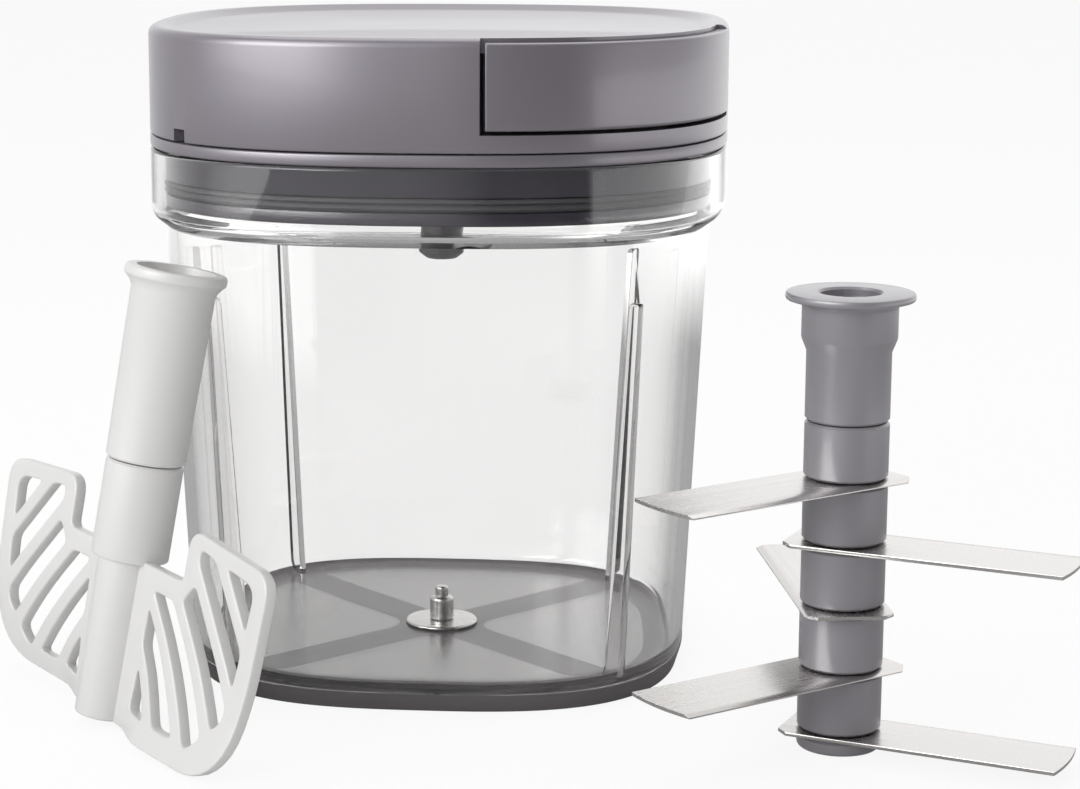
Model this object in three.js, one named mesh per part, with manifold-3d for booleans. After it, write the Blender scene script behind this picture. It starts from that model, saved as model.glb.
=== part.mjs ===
// A hand-pulled food chopper: a clear square-round bowl with a lid that holds a cord reel,
// and beside it the five-blade cutter and the mixing paddle that fit over the bowl's centre pin.
// Units are millimetres, +Z is up, and the origin is the middle of the bowl's foot on the table.
// The bowl's four sides face X and Y; the pull handle fills the lid's corner between +X and -Y.
import * as THREE from 'three';
import { TessellateModifier } from 'three/addons/modifiers/TessellateModifier.js';
import { mergeVertices } from 'three/addons/utils/BufferGeometryUtils.js';
import Module from 'manifold-3d';

const wasm = await Module();
wasm.setup();

// Driving sizes
const squareness = 2.6; // exponent of the lid's rounded-square plan: 2 is a circle
const bowlSquareness = 2.87; // the bowl's body is a little squarer
const seat = 0.3; // gap left between pieces that touch
const running = 0.4; // gap round a turning journal
const overrun = 5; // how far a cutting tool passes the face it cuts
const edgeBreak = 0.5; // small chamfer on moulded rims
const roundSegments = 24; // facets round a turned piece
const squareSegments = 48; // facets round a rounded-square piece

// Bowl
const mouthStep = 3.8; // how far the wall's top stands in from the collar
const wallTaper = 4.7; // how much narrower the wall is at the table, on each side
const bowlWall = 2.4;
const bowlFloor = 2.0;
const footFillet = 3.0;
const floorFillet = 3.5;
const shoulderZ = 106.0; // where the wall starts to flare into the collar
const shoulderRise = 4.6;
const collarHeight = 12.5; // straight wall of the collar
const finTopZ = 91.8; // top of the four corner fins
const finTopDepth = 3.0;
const finFootDepth = 5.0;
const finTopDrop = 2.3; // height of the rounded upper corner
const finThickness = 1.6;
const cornerCount = 4;

// Non-slip pad under the bowl
const padThickness = 2.2;
const padInset = 1.1; // how far the pad stands back from the bowl's side
const padSpoke = 11; // width of the cross that bears on the floor
const padRim = 7.5; // width of the outer ring
const petalDepth = 0.8;
const petalRound = 6.5;

// Centre pin
const pinRadius = 2.9;
const pinTopZ = 13.6;
const pinNeckRadius = 1.6;
const pinNeckLength = 3.0;
const pinShankRadius = 1.7;
const pinRivetRadius = 3.6;
const pinRivetHeight = 0.7;
const discRadius = 8.7;
const discThickness = 0.6;

// Lid
const lidHalf = 67;
const flangeThickness = 2.7; // rim of the tray that shows under the cover
const coverHeight = 24.3;
const coverWall = 2.4;
const coverFillet = 2.0;
const roofThickness = 2.0;
const dishDepth = 1.2; // how far the top is sunk inside its rim
const dishRim = 4.2;
const dishSlope = 2.5;
const trayFloor = 2.2;
const trayWall = 2.2;
const locatingLip = 3.0; // upstand of the tray inside the cover's wall
const notchWidth = 2.6; // small vent notch in the cover's lower edge
const notchHeight = 2.9;
const notchAngle = -138;

// Seal ring round the tray
const sealHeight = 3.4;
const sealGroove = 1.8;
const sealLift = 2.2; // height of the groove above the tray's underside

// Handle in the lid's corner
const handleStart = 13.9; // where the corner recess begins, from the bowl's mid planes
const handleEndGap = 1.2;
const handleProud = 0.4; // how far the grip stands out of the lid's side
const handleSkin = 2.7;
const handleBottomGap = 0.8;
const handleBevel = 0.8;
const handleTopDrop = 0.9; // the grip's top edge lies this far below the lid's rim
const recessDepth = 11;
const recessWall = 2.0;
const stripHeight = 3.9; // part of the cover that runs on under the grip
const handleBackThickness = 2.6;
const handleScrewRadius = 1.2;
const handleScrewHead = 1.9;
const handleScrewHeadHeight = 0.8;
const handleScrewLength = 6.5;
const handleScrewReach = 22; // distance of the two screws from the bowl's mid planes

// Cord
const cordRadius = 1.2;
const cordStopRadius = 3.2;
const cordStopLength = 4.6;
const cordStopBore = 1.0;
const pocketRadius = 3.9;
const eyeletRadius = 3.2;
const eyeletFlange = 4.6;
const eyeletFlangeThickness = 1.2;
const cordBend = 8; // radius of the cord's bend at the eyelet

// Reel
const drumRadius = 20;
const drumBoreClearance = 0.4;
const reelFlangeRadius = 30;
const reelFlangeThickness = 1.6;
const windingGap = 0.55; // clear space between turns, over 0.4
const windingTurns = 2.7;
const reelZoneMargin = 1.1; // cord's clearance below the top flange
const reelZoneHeight = 12.0;
const springCupRadius = 26;
const springCupWall = 2.0;
const springCupDepth = 7.0;
const springCoverThickness = 1.8;

// Post that the reel turns on, and the mainspring on it
const postRadius = 6.0;
const postSpigotRadius = 4.0;
const postSpigotLength = 1.6;
const postFlangeRadius = 8.0;
const postFlangeThickness = 1.2;
const postBossRadius = 8.0;
const postSlotWidth = 1.1;
const springStrip = 0.5;
const springHeight = 5.6;
const springTurns = 6;
const springSteps = 16; // facets in one turn of the spring

// Spindle, clutch and bearing
const spindleRadius = 5.0;
const spindleHeadAcross = 10.4; // across the flats of the six-sided driving head
const spindleHeadLength = 5.4;
const spindleReach = 16.7; // how far the head hangs below the tray
const spindleTipRound = 1.6;
const ratchetRadius = 12.6;
const ratchetStep = 1.5;
const ratchetTeeth = 12;
const ratchetThickness = 3.0;
const spindlePilotRadius = 4.2;
const spindlePilotLength = 2.2;
const bushingWall = 1.8;
const bushingFlangeThickness = 1.0;
const washerThickness = 0.8;
const hubWall = 2.2;
const hubRise = 1.2; // height of the tray's bearing tube above its floor
const pawlCount = 3;
const pawlNoseAngle = 32; // how far round from its pin the nose meets the teeth
const pawlWidth = 4.6;
const pawlBore = 1.75;
const pawlPinRadius = 1.4;
const pawlCircle = 19.4; // radius on which the pawls turn
const springRingRadius = 0.4; // wire of the ring that presses the pawls in

// Lid screws
const lidScrewInset = 17; // from the lid's side to the circle of the screws
const lidScrewAngles = [45, 135, 225, -78, -12];
const lidScrewRadius = 1.5;
const lidScrewHeadRadius = 3.0;
const lidScrewHeadHeight = 2.0;
const lidScrewLength = 16;
const pillarRadius = 4.2;
const pillarHeight = 15.7; // above the tray's floor
const screwSeatDrop = 5.8; // from the pillar's top down to the screw's seat

// Cutter
const cutterAside = 25.3; // from the lid's side to the cutter's axis
const cutterForward = 5.2; // from the lid's front to the cutter's axis
const neckRise = 9.7; // height of the neck and flange together
const topSleeveLength = 16.9; // plain sleeve between the top blade and the neck
const cutterRadius = 8.95;
const cutterNeckRadius = 10.1;
const cutterFlangeRadius = 13.6;
const cutterFlangeThickness = 1.6;
const neckConeHeight = 2.8;
const bladePitch = 13.8; // from blade to blade up the core
const endCapHeight = 3.1;
const bladeThickness = 0.8;
const bladeCount = 5;
const bladeTurn = 120; // each blade is turned by this from the one above
const bladeFirstAngle = -141.3;
const bladeReach = 50;
const bladeLead = 9.8; // cutting edge's distance from the axis
const bladeTrail = 9.2; // back edge's distance from the axis
const bladeTail = 11.3;
const bladeTailCut = 2.4;
const bladeBevel = 1.6;
const bladeEdge = 0.25; // thickness left at the cutting edge
const coreAcross = 10.2; // across the flats of the core inside the spacers
const socketAcross = 11.2; // six-sided socket for the spindle
const socketDepth = 12;
const mouthRadius = 6.4;
const mouthDepth = 2.0;
const pinSocketDepth = 10;
const grooveChamfer = 0.5;

// Paddle
const paddleHeight = 100.4;
const paddleBearing = -134.6; // direction of the paddle's foot, seen from the bowl's axis
const paddleLean = 10.7; // degrees off upright
const paddleLeanAngle = 25.8; // direction it leans in, seen from above
const paddleTwist = -47.7; // direction of the wing nearer the front
const sleeveTopRadius = 9.3;
const sleeveLowRadius = 8.6;
const sleeveFlangeRadius = 11.3;
const sleeveFlangeThickness = 2.4;
const sleeveSeamZ = 57.6;
const hubTopZ = 36.0;
const hubRadius = 6.9;
const hubLowRadius = 6.5;
const wingThickness = 2.8;
const wingFootReach = 52.8;
const wingTopReach = 55.4;
const wingTopZ = 48.6;
const wingShoulder = 24.2; // where the web steps up to the wing's full height
const wingWebZ = 36.8;
const wingFootRound = 13;
const wingTopRound = 6;
const wingStepRound = 5;
const wingTopFall = 2.6; // how far the top edge falls towards its outer end
const wingFrame = 4.9;
const wingTopFrame = 3.6;
const wingCurl = 4.7; // how far the lower edge is swept back
const wingCurlHeight = 26; // height over which the sweep dies away
const slotCount = 6;
const slotPitch = 9.05;
const slotWidth = 5.7;
const slotAngle = 48; // degrees that the slots fall, outwards
const slotFirst = 16.4; // distance of the lowest slot from the hub's foot, across the slots
const slotRound = 1.6;
const slotHubGap = 6.0;
const wingStep = 7; // longest straight edge left in the wing, so that it can curl
const wingSplits = 12; // rounds of halving that its edges may take

// Heights that follow from those sizes
const collarHalf = lidHalf; // the collar is flush with the lid
const mouthHalf = collarHalf - mouthStep;
const footHalf = mouthHalf - wallTaper;
const bowlUnderZ = padThickness + seat;
const floorTopZ = bowlUnderZ + bowlFloor;
const collarLowZ = shoulderZ + shoulderRise;
const collarTopZ = collarLowZ + collarHeight;
const flangeLowZ = collarTopZ + seat;
const flangeTopZ = flangeLowZ + flangeThickness;
const trayUnderZ = collarLowZ + edgeBreak;
const trayFloorZ = trayUnderZ + trayFloor;
const pillarTopZ = trayFloorZ + pillarHeight;
const screwSeatZ = pillarTopZ - screwSeatDrop;
const spindleTipZ = trayUnderZ - spindleReach;
const coverLowZ = flangeTopZ + seat;
const coverTopZ = coverLowZ + coverHeight;
const dishZ = coverTopZ - dishDepth;
const roofUnderZ = dishZ - roofThickness;
const coverInner = lidHalf - coverWall;
const recessFloorZ = coverLowZ + stripHeight;
const recessHalf = lidHalf - recessDepth;
const handleLowZ = recessFloorZ + handleBottomGap;
const handleHighZ = coverTopZ - handleTopDrop;
const handleUnderRoofZ = roofUnderZ - seat;
const cordZ = (handleLowZ + handleHighZ) / 2;
const collarInner = collarHalf - bowlWall;
const skirtHalf = collarInner - 2 * seat;
const lidScrewCircle = lidHalf - lidScrewInset;
// Diagonal reach for each unit of half width
const diagonal = (exponent) => 2 ** (0.5 - 1 / exponent);
const cornerStretch = diagonal(squareness);
const pullAngle = -Math.PI / 4;

// Materials, one for each finish on the real object
function finish(color, roughness, metalness = 0, opacity = 1) {
  return new THREE.MeshStandardMaterial({ color, roughness, metalness, opacity, transparent: opacity < 1 });
}
const clearPlastic = finish(0xe9ecec, 0.08, 0, 0.35);
const lidGrey = finish(0x8b898c, 0.38, 0.2);
const skirtGrey = finish(0x58575c, 0.45);
const sealRubber = finish(0x3d3c40, 0.7);
const padRubber = finish(0x4c4b4e, 0.75);
const cutterGrey = finish(0x77757a, 0.4);
const bladeSteel = finish(0xd9d7d4, 0.22, 1);
const pinSteel = finish(0xb5b4b3, 0.3, 1);
const paddleWhite = finish(0xe4e3e0, 0.45);
const innerWhite = finish(0xd8d8d4, 0.5);
const cordWhite = finish(0xd5d3ce, 0.85);
const springSteel = finish(0x8d9096, 0.35, 1);
const blackPlastic = finish(0x2c2c2e, 0.55);

// Helpers: closed geometry, joins and cuts
const degrees = (angle) => THREE.MathUtils.degToRad(angle);
const point = (r, z) => new THREE.Vector2(r, z);

function closed(geometry) {
  const bare = geometry.clone();
  bare.deleteAttribute('normal');
  bare.deleteAttribute('uv');
  return mergeVertices(bare);
}

function toSolid(geometry) {
  const merged = closed(geometry);
  const vertProperties = new Float32Array(merged.attributes.position.array);
  const triVerts = new Uint32Array(merged.index.array);
  const mesh = new wasm.Mesh({ numProp: 3, vertProperties, triVerts });
  mesh.merge();
  return new wasm.Manifold(mesh);
}

function toGeometry(solid) {
  const mesh = solid.getMesh();
  const geometry = new THREE.BufferGeometry();
  const positions = new Float32Array(mesh.numVert * 3);
  for (let i = 0; i < mesh.numVert; i += 1) {
    for (let k = 0; k < 3; k += 1) positions[3 * i + k] = mesh.vertProperties[mesh.numProp * i + k];
  }
  geometry.setAttribute('position', new THREE.BufferAttribute(positions, 3));
  geometry.setIndex(new THREE.BufferAttribute(new Uint32Array(mesh.triVerts), 1));
  return geometry;
}

function join(first, ...others) {
  return toGeometry(others.reduce((sum, other) => sum.add(toSolid(other)), toSolid(first)));
}

function cut(body, ...tools) {
  return toGeometry(tools.reduce((rest, tool) => rest.subtract(toSolid(tool)), toSolid(body)));
}

function common(first, second) {
  return toGeometry(toSolid(first).intersect(toSolid(second)));
}

// A turned piece: the profile runs anticlockwise in radius and height, on the axis or closed on itself.
function turned(profile, segments = roundSegments) {
  return new THREE.LatheGeometry(profile, segments).rotateX(Math.PI / 2);
}

// A ring's profile is closed by repeating its first point.
const loop = (points) => [...points, points[0].clone()];

// How far out the rounded-square plan of half width 1 lies at an angle
const planReach = (angle, exponent) =>
  (Math.abs(Math.cos(angle)) ** exponent + Math.abs(Math.sin(angle)) ** exponent) ** (-1 / exponent);

// A turned piece pushed out to the rounded-square plan, whose exponent may change with height.
function squared(profile, segments = squareSegments, exponentAt = () => squareness) {
  const geometry = turned(profile, segments);
  const position = geometry.attributes.position;
  for (let i = 0; i < position.count; i += 1) {
    const angle = Math.atan2(position.getY(i), position.getX(i));
    const stretch = planReach(angle, exponentAt(position.getZ(i)));
    position.setXY(i, position.getX(i) * stretch, position.getY(i) * stretch);
  }
  return geometry;
}

const squaredRing = (inner, outer, low, high, segments) =>
  squared(loop([point(inner, low), point(outer, low), point(outer, high), point(inner, high)]), segments);
const plug = (radius, low, high, segments) =>
  turned([point(0, low), point(radius, low), point(radius, high), point(0, high)], segments);
const tube = (inner, outer, low, high, segments) =>
  turned(loop([point(inner, low), point(outer, low), point(outer, high), point(inner, high)]), segments);

// An upright bar with six flats, measured across them.
const sixSided = (across, low, high) => plug(across / Math.sqrt(3), low, high, 6);

// A quarter-round from one point of a profile to the next, about the given centre.
function fillet(centreR, centreZ, radius, from, to, steps = 3) {
  return Array.from({ length: steps + 1 }, (_, i) => {
    const angle = degrees(from + ((to - from) * i) / steps);
    return point(centreR + radius * Math.cos(angle), centreZ + radius * Math.sin(angle));
  });
}

// A prism of a plan outline between two heights.
function prism(outline, low, high) {
  const shape = outline instanceof THREE.Shape ? outline : new THREE.Shape(outline);
  return new THREE.ExtrudeGeometry(shape, { depth: high - low, bevelEnabled: false, curveSegments: 8 })
    .translate(0, 0, low);
}

// A piece built along +Z is laid along the pull, at the cord's height.
const alongPull = (geometry) => geometry.rotateY(Math.PI / 2).rotateZ(pullAngle).translate(0, 0, cordZ);

const chopper = new THREE.Group();

function piece(name, geometry, material, parent = chopper) {
  const mesh = new THREE.Mesh(closed(geometry), material);
  mesh.name = name;
  parent.add(mesh);
  return mesh;
}

// Half width of the bowl's outer wall at a height
function wallHalf(z) {
  const share = (z - bowlUnderZ - footFillet) / (shoulderZ - bowlUnderZ - footFillet);
  return THREE.MathUtils.lerp(footHalf, mouthHalf, THREE.MathUtils.clamp(share, 0, 1));
}

// The bowl's plan grows rounder through the shoulder, to meet the lid's.
function bowlExponent(z) {
  const share = THREE.MathUtils.clamp((z - shoulderZ) / shoulderRise, 0, 1);
  return THREE.MathUtils.lerp(bowlSquareness, squareness, share);
}

// Bowl: wall, floor, collar and four corner fins in one clear moulding
function bowlShell() {
  const flareRadius = shoulderRise;
  return squared([
    point(0, bowlUnderZ),
    ...fillet(footHalf - footFillet, bowlUnderZ + footFillet, footFillet, -90, 0, 2),
    point(mouthHalf, shoulderZ),
    ...fillet(collarHalf - flareRadius, collarLowZ, flareRadius, -35, 0, 2),
    point(collarHalf, collarTopZ - edgeBreak),
    point(collarHalf - edgeBreak, collarTopZ),
    point(collarInner, collarTopZ),
    point(collarInner, collarLowZ),
    point(mouthHalf - bowlWall, shoulderZ),
    ...fillet(footHalf - bowlWall - floorFillet, floorTopZ + floorFillet, floorFillet, 0, -90, 2),
    point(0, floorTopZ),
  ], squareSegments, bowlExponent);
}

// A fin stands on the wall's inside, drawn in distance from the axis and height: deeper at its foot.
function cornerFin() {
  const low = floorTopZ - bowlFloor / 2;
  const wallLow = (wallHalf(low) - bowlWall) * diagonal(bowlSquareness);
  const wallHigh = (wallHalf(finTopZ) - bowlWall) * diagonal(bowlSquareness);
  const buried = bowlWall / 2;
  const shape = new THREE.Shape();
  shape.moveTo(wallLow - finFootDepth, low);
  shape.lineTo(wallLow + buried, low);
  shape.lineTo(wallHigh + buried, finTopZ);
  shape.lineTo(wallHigh, finTopZ);
  shape.quadraticCurveTo(wallHigh - finTopDepth, finTopZ, wallHigh - finTopDepth, finTopZ - finTopDrop);
  const fin = new THREE.ExtrudeGeometry(shape, { depth: finThickness, bevelEnabled: false, curveSegments: 4 });
  return fin.translate(0, 0, -finThickness / 2).rotateX(Math.PI / 2);
}

function makeBowl() {
  const fins = Array.from({ length: cornerCount }, (_, i) =>
    cornerFin().rotateZ(Math.PI / 4 + (i * 2 * Math.PI) / cornerCount));
  const pinHole = plug(pinShankRadius + seat, bowlUnderZ - overrun, floorTopZ + overrun, 16);
  piece('bowl', cut(join(bowlShell(), ...fins), pinHole), clearPlastic);
}

// Pad: a rubber plate whose ring and cross bear on the bowl's underside
function padPetal() {
  const apex = padSpoke / Math.SQRT2;
  const centre = apex + petalRound * Math.SQRT2;
  const reach = footHalf - padInset - padRim;
  const shape = new THREE.Shape();
  shape.absarc(centre, 0, petalRound, degrees(135), degrees(225), false);
  const steps = 10;
  const widest = Math.asin(apex / (reach * diagonal(bowlSquareness) * Math.SQRT2));
  for (let i = 0; i <= steps; i += 1) {
    const angle = (Math.PI / 4 - widest) * ((2 * i) / steps - 1);
    const radius = reach * planReach(angle, bowlSquareness);
    shape.lineTo(radius * Math.cos(angle), radius * Math.sin(angle));
  }
  return shape;
}

function makePad() {
  const half = footHalf - padInset;
  const plate = squared([
    point(0, 0), point(half - edgeBreak, 0), point(half, edgeBreak),
    point(half, padThickness - edgeBreak), point(half - edgeBreak, padThickness), point(0, padThickness),
  ], squareSegments, () => bowlSquareness);
  const petalLow = padThickness - petalDepth;
  const cutTop = padThickness + overrun;
  const petals = Array.from({ length: cornerCount }, (_, i) =>
    prism(padPetal(), petalLow, cutTop).rotateZ((i * 2 * Math.PI) / cornerCount));
  const rivetRoom = plug(pinRivetRadius + seat, padThickness - pinRivetHeight - 2 * seat, cutTop, 16);
  piece('base_pad', cut(plate, ...petals, rivetRoom), padRubber);
}

// Pin: riveted through a washer and the floor
function makePin() {
  const discLowZ = floorTopZ + seat;
  const discTopZ = discLowZ + discThickness;
  piece('pin_washer', turned(loop([
    point(pinShankRadius + seat, discLowZ), point(discRadius, discLowZ),
    point(discRadius, discTopZ - discThickness / 2), point(discRadius - discThickness, discTopZ),
    point(pinShankRadius + seat, discTopZ),
  ])), pinSteel);
  const rivetTopZ = bowlUnderZ - seat;
  const shoulder = discTopZ + seat;
  const neckZ = pinTopZ - pinNeckLength;
  piece('centre_pin', turned([
    point(0, rivetTopZ - pinRivetHeight), point(pinRivetRadius - edgeBreak, rivetTopZ - pinRivetHeight),
    point(pinRivetRadius, rivetTopZ), point(pinShankRadius, rivetTopZ), point(pinShankRadius, shoulder),
    point(pinRadius, shoulder), point(pinRadius, neckZ - edgeBreak), point(pinNeckRadius, neckZ + edgeBreak),
    point(pinNeckRadius, pinTopZ - edgeBreak), point(pinNeckRadius - edgeBreak, pinTopZ), point(0, pinTopZ),
  ], 20), pinSteel);
}

// The corner of the plan that the handle fills, from a start line outwards; bevel trims the outer edge.
function cornerPlan(start, bevel, outer) {
  const far = lidHalf + overrun;
  if (bevel === 0) {
    return [point(start, -far), point(far, -far), point(far, -start), point(start, -start)];
  }
  return [
    point(start, -start), point(start, bevel - outer), point(start + bevel, -outer), point(start + bevel, -far),
    point(far, -far), point(far, -start - bevel), point(outer, -start - bevel), point(outer - bevel, -start),
  ];
}

// Cover: a dished cap with the corner recess for the handle and its lining
function coverShell() {
  const rimInner = lidHalf - dishRim;
  return squared([
    point(0, roofUnderZ), point(coverInner - coverFillet, roofUnderZ),
    point(coverInner, roofUnderZ - coverFillet), point(coverInner, coverLowZ),
    point(lidHalf - edgeBreak, coverLowZ), point(lidHalf, coverLowZ + edgeBreak),
    ...fillet(lidHalf - coverFillet, coverTopZ - coverFillet, coverFillet, 0, 90),
    point(rimInner, coverTopZ), point(rimInner - dishSlope, dishZ), point(0, dishZ),
  ]);
}

function atLidScrews(make) {
  return lidScrewAngles.map((angle) =>
    make().translate(lidScrewCircle * Math.cos(degrees(angle)), lidScrewCircle * Math.sin(degrees(angle)), 0));
}

function makeCover() {
  const inRoofZ = roofUnderZ + roofThickness / 2;
  const liningOuter = common(
    squaredRing(recessHalf - recessWall, lidHalf - edgeBreak, recessFloorZ - recessWall, inRoofZ),
    prism(cornerPlan(handleStart - recessWall, 0), coverLowZ, coverTopZ + overrun),
  );
  const bosses = atLidScrews(() => plug(pillarRadius, pillarTopZ + seat, inRoofZ, 12));
  const postBoss = plug(postBossRadius, roofUnderZ - postSpigotLength + seat, inRoofZ);
  const body = join(coverShell(), liningOuter, postBoss, ...bosses);

  const recessTool = common(
    squaredRing(recessHalf, lidHalf + overrun, recessFloorZ, roofUnderZ),
    prism(cornerPlan(handleStart, 0), coverLowZ, coverTopZ),
  );
  const skinInner = lidHalf + handleProud - handleSkin - seat;
  const edgeTool = common(
    squaredRing(skinInner, lidHalf + overrun, roofUnderZ - seat, coverTopZ + overrun),
    prism(cornerPlan(handleStart, 0), coverLowZ, coverTopZ + 2 * overrun),
  );
  const holeStart = (recessHalf - 2 * recessWall) * cornerStretch;
  const cordHole = alongPull(plug(eyeletRadius + seat, holeStart, lidHalf, 16));
  const screwHoles = atLidScrews(() =>
    plug(lidScrewRadius + seat, pillarTopZ - overrun, screwSeatZ + lidScrewLength + seat, 8));
  const spigotHole = plug(postSpigotRadius + seat, roofUnderZ - 2 * postSpigotLength, roofUnderZ + seat, 20);
  const notch = new THREE.BoxGeometry(3 * coverWall, notchWidth, 2 * notchHeight)
    .translate(lidHalf, 0, coverLowZ).rotateZ(degrees(notchAngle));
  piece('top_cover', cut(body, recessTool, edgeTool, cordHole, spigotHole, notch, ...screwHoles), lidGrey);
}

// Tray: the lid's lower half, a cup that drops into the collar and carries the bearing
const hubInner = spindleRadius + running + bushingWall + seat;
const hubOuter = hubInner + hubWall;
const bearingTopZ = trayFloorZ + hubRise;

function makeTray() {
  const grooveLow = trayUnderZ + sealLift;
  const grooveHigh = grooveLow + sealHeight;
  const lipHalf = coverInner - 2 * seat;
  const shell = squared([
    point(0, trayUnderZ), point(skirtHalf - edgeBreak, trayUnderZ), point(skirtHalf, trayUnderZ + edgeBreak),
    point(skirtHalf, grooveLow), point(skirtHalf - sealGroove, grooveLow),
    point(skirtHalf - sealGroove, grooveHigh), point(skirtHalf, grooveHigh), point(skirtHalf, flangeLowZ),
    point(lidHalf - edgeBreak, flangeLowZ), point(lidHalf, flangeLowZ + edgeBreak),
    point(lidHalf, flangeTopZ - edgeBreak), point(lidHalf - edgeBreak, flangeTopZ), point(lipHalf, flangeTopZ),
    point(lipHalf, flangeTopZ + locatingLip),
    point(skirtHalf - sealGroove - trayWall, flangeTopZ + locatingLip),
    point(skirtHalf - sealGroove - trayWall, trayFloorZ), point(0, trayFloorZ),
  ]);
  const hub = plug(hubOuter, trayUnderZ + trayFloor / 2, bearingTopZ);
  const pillars = atLidScrews(() => plug(pillarRadius, trayUnderZ + trayFloor / 2, pillarTopZ, 12));
  const bore = plug(hubInner, trayUnderZ - overrun, bearingTopZ + overrun);
  const headRooms = atLidScrews(() => plug(lidScrewHeadRadius + seat, trayUnderZ - overrun, screwSeatZ, 10));
  const shankHoles = atLidScrews(() =>
    plug(lidScrewRadius + seat, screwSeatZ - overrun, pillarTopZ + overrun, 8));
  // The upstand stops where the handle's recess comes down.
  const lipGap = common(
    prism(cornerPlan(handleStart - 2 * recessWall, 0), flangeTopZ, flangeTopZ + 2 * locatingLip),
    squaredRing(recessHalf - 2 * recessWall, lidHalf + overrun, flangeTopZ, coverTopZ),
  );
  const body = join(shell, hub, ...pillars);
  piece('lid_tray', cut(body, bore, ...headRooms, ...shankHoles, lipGap), skirtGrey);

  const sealInner = skirtHalf - sealGroove + seat;
  const sealOuter = collarInner - seat;
  const sealLow = grooveLow + seat;
  const sealHigh = grooveHigh - seat;
  const lip = (sealHigh - sealLow) / 4;
  piece('seal_ring', squared(loop([
    point(sealInner, sealLow), point(skirtHalf - seat, sealLow), point(sealOuter, sealLow + lip),
    point(skirtHalf - seat, sealLow + 2 * lip), point(sealOuter, sealLow + 3 * lip),
    point(skirtHalf - seat, sealHigh), point(sealInner, sealHigh),
  ])), sealRubber);
}

function makeLidScrews() {
  const headTopZ = screwSeatZ - seat;
  const headLowZ = headTopZ - lidScrewHeadHeight;
  const tipZ = screwSeatZ + lidScrewLength;
  const screw = () => turned([
    point(0, headLowZ), point(lidScrewHeadRadius - edgeBreak, headLowZ),
    point(lidScrewHeadRadius, (headLowZ + headTopZ) / 2), point(lidScrewHeadRadius, headTopZ),
    point(lidScrewRadius, headTopZ), point(lidScrewRadius, tipZ - lidScrewRadius), point(0, tipZ),
  ], 8);
  atLidScrews(screw).forEach((geometry, i) => piece(`lid_screw_${i + 1}`, geometry, pinSteel));
}

// Handle: a corner grip, hollowed behind for the cord's stop and closed by a plate
const handleInner = recessHalf + seat;
const plateOuter = handleInner + handleBackThickness;
const shellInner = plateOuter + seat;
const handleOuter = lidHalf + handleProud;
const handleSegments = 72;

// How far out a rounded-square wall lies at a distance to the side of its middle
const sideReach = (half, across) => half * (1 - (across / half) ** squareness) ** (1 / squareness);
const headLow = sideReach(handleInner, handleScrewReach - handleScrewHead);
const headHigh = headLow + handleScrewHeadHeight;
const handleScrewEnd = headHigh + handleScrewLength;

// The two screws go in square to the lid's sides, one in each arm of the grip.
function atHandleScrews(make) {
  const front = make().rotateX(Math.PI / 2).translate(handleScrewReach, 0, cordZ);
  const side = make().rotateY(Math.PI / 2).translate(0, -handleScrewReach, cordZ);
  return [front, side];
}

function makeHandle() {
  const section = loop([
    point(shellInner, handleLowZ), point(handleOuter - edgeBreak, handleLowZ),
    point(handleOuter, handleLowZ + edgeBreak), point(handleOuter, handleHighZ - edgeBreak),
    point(handleOuter - edgeBreak, handleHighZ), point(handleOuter - handleSkin, handleHighZ),
    point(handleOuter - handleSkin, handleUnderRoofZ), point(shellInner, handleUnderRoofZ),
  ]);
  const start = handleStart + handleEndGap;
  const grip = common(squared(section, handleSegments),
    prism(cornerPlan(start, handleBevel, handleOuter), handleLowZ - overrun, coverTopZ + overrun));
  const stopStart = shellInner * cornerStretch;
  const pocket = alongPull(plug(pocketRadius, stopStart - overrun, stopStart + cordStopLength + 3 * seat, 16));
  const threads = atHandleScrews(() => plug(handleScrewRadius + seat, headLow, handleScrewEnd + seat, 10));
  piece('handle_shell', cut(grip, pocket, ...threads), lidGrey);

  const plateLow = handleLowZ + edgeBreak;
  const plateHigh = handleUnderRoofZ - edgeBreak;
  const plate = common(squaredRing(handleInner, plateOuter, plateLow, plateHigh, handleSegments),
    prism(cornerPlan(start + edgeBreak, 0), handleLowZ - overrun, coverTopZ));
  const cordHole = alongPull(plug(cordRadius + running, recessHalf - overrun, lidHalf + overrun, 16));
  const headRooms = atHandleScrews(() => plug(handleScrewHead + seat, headLow - overrun, headHigh + seat, 12));
  const shankHoles = atHandleScrews(() => plug(handleScrewRadius + seat, headLow, headHigh + overrun, 10));
  piece('handle_plate', cut(plate, cordHole, ...headRooms, ...shankHoles), skirtGrey);

  const screw = () => turned([
    point(0, headLow), point(handleScrewHead, headLow), point(handleScrewHead, headHigh),
    point(handleScrewRadius, headHigh), point(handleScrewRadius, handleScrewEnd - handleScrewRadius),
    point(0, handleScrewEnd),
  ], 10);
  atHandleScrews(screw).forEach((geometry, i) => piece(`handle_screw_${i + 1}`, geometry, pinSteel));

  const stopLow = stopStart + seat;
  const stopHigh = stopLow + cordStopLength;
  piece('cord_stop', alongPull(turned(loop([
    point(cordStopBore, stopLow), point(cordStopRadius, stopLow), point(cordStopRadius, stopHigh - edgeBreak),
    point(cordStopRadius - edgeBreak, stopHigh), point(cordStopBore, stopHigh),
  ]), 16)), pinSteel);
}

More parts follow.
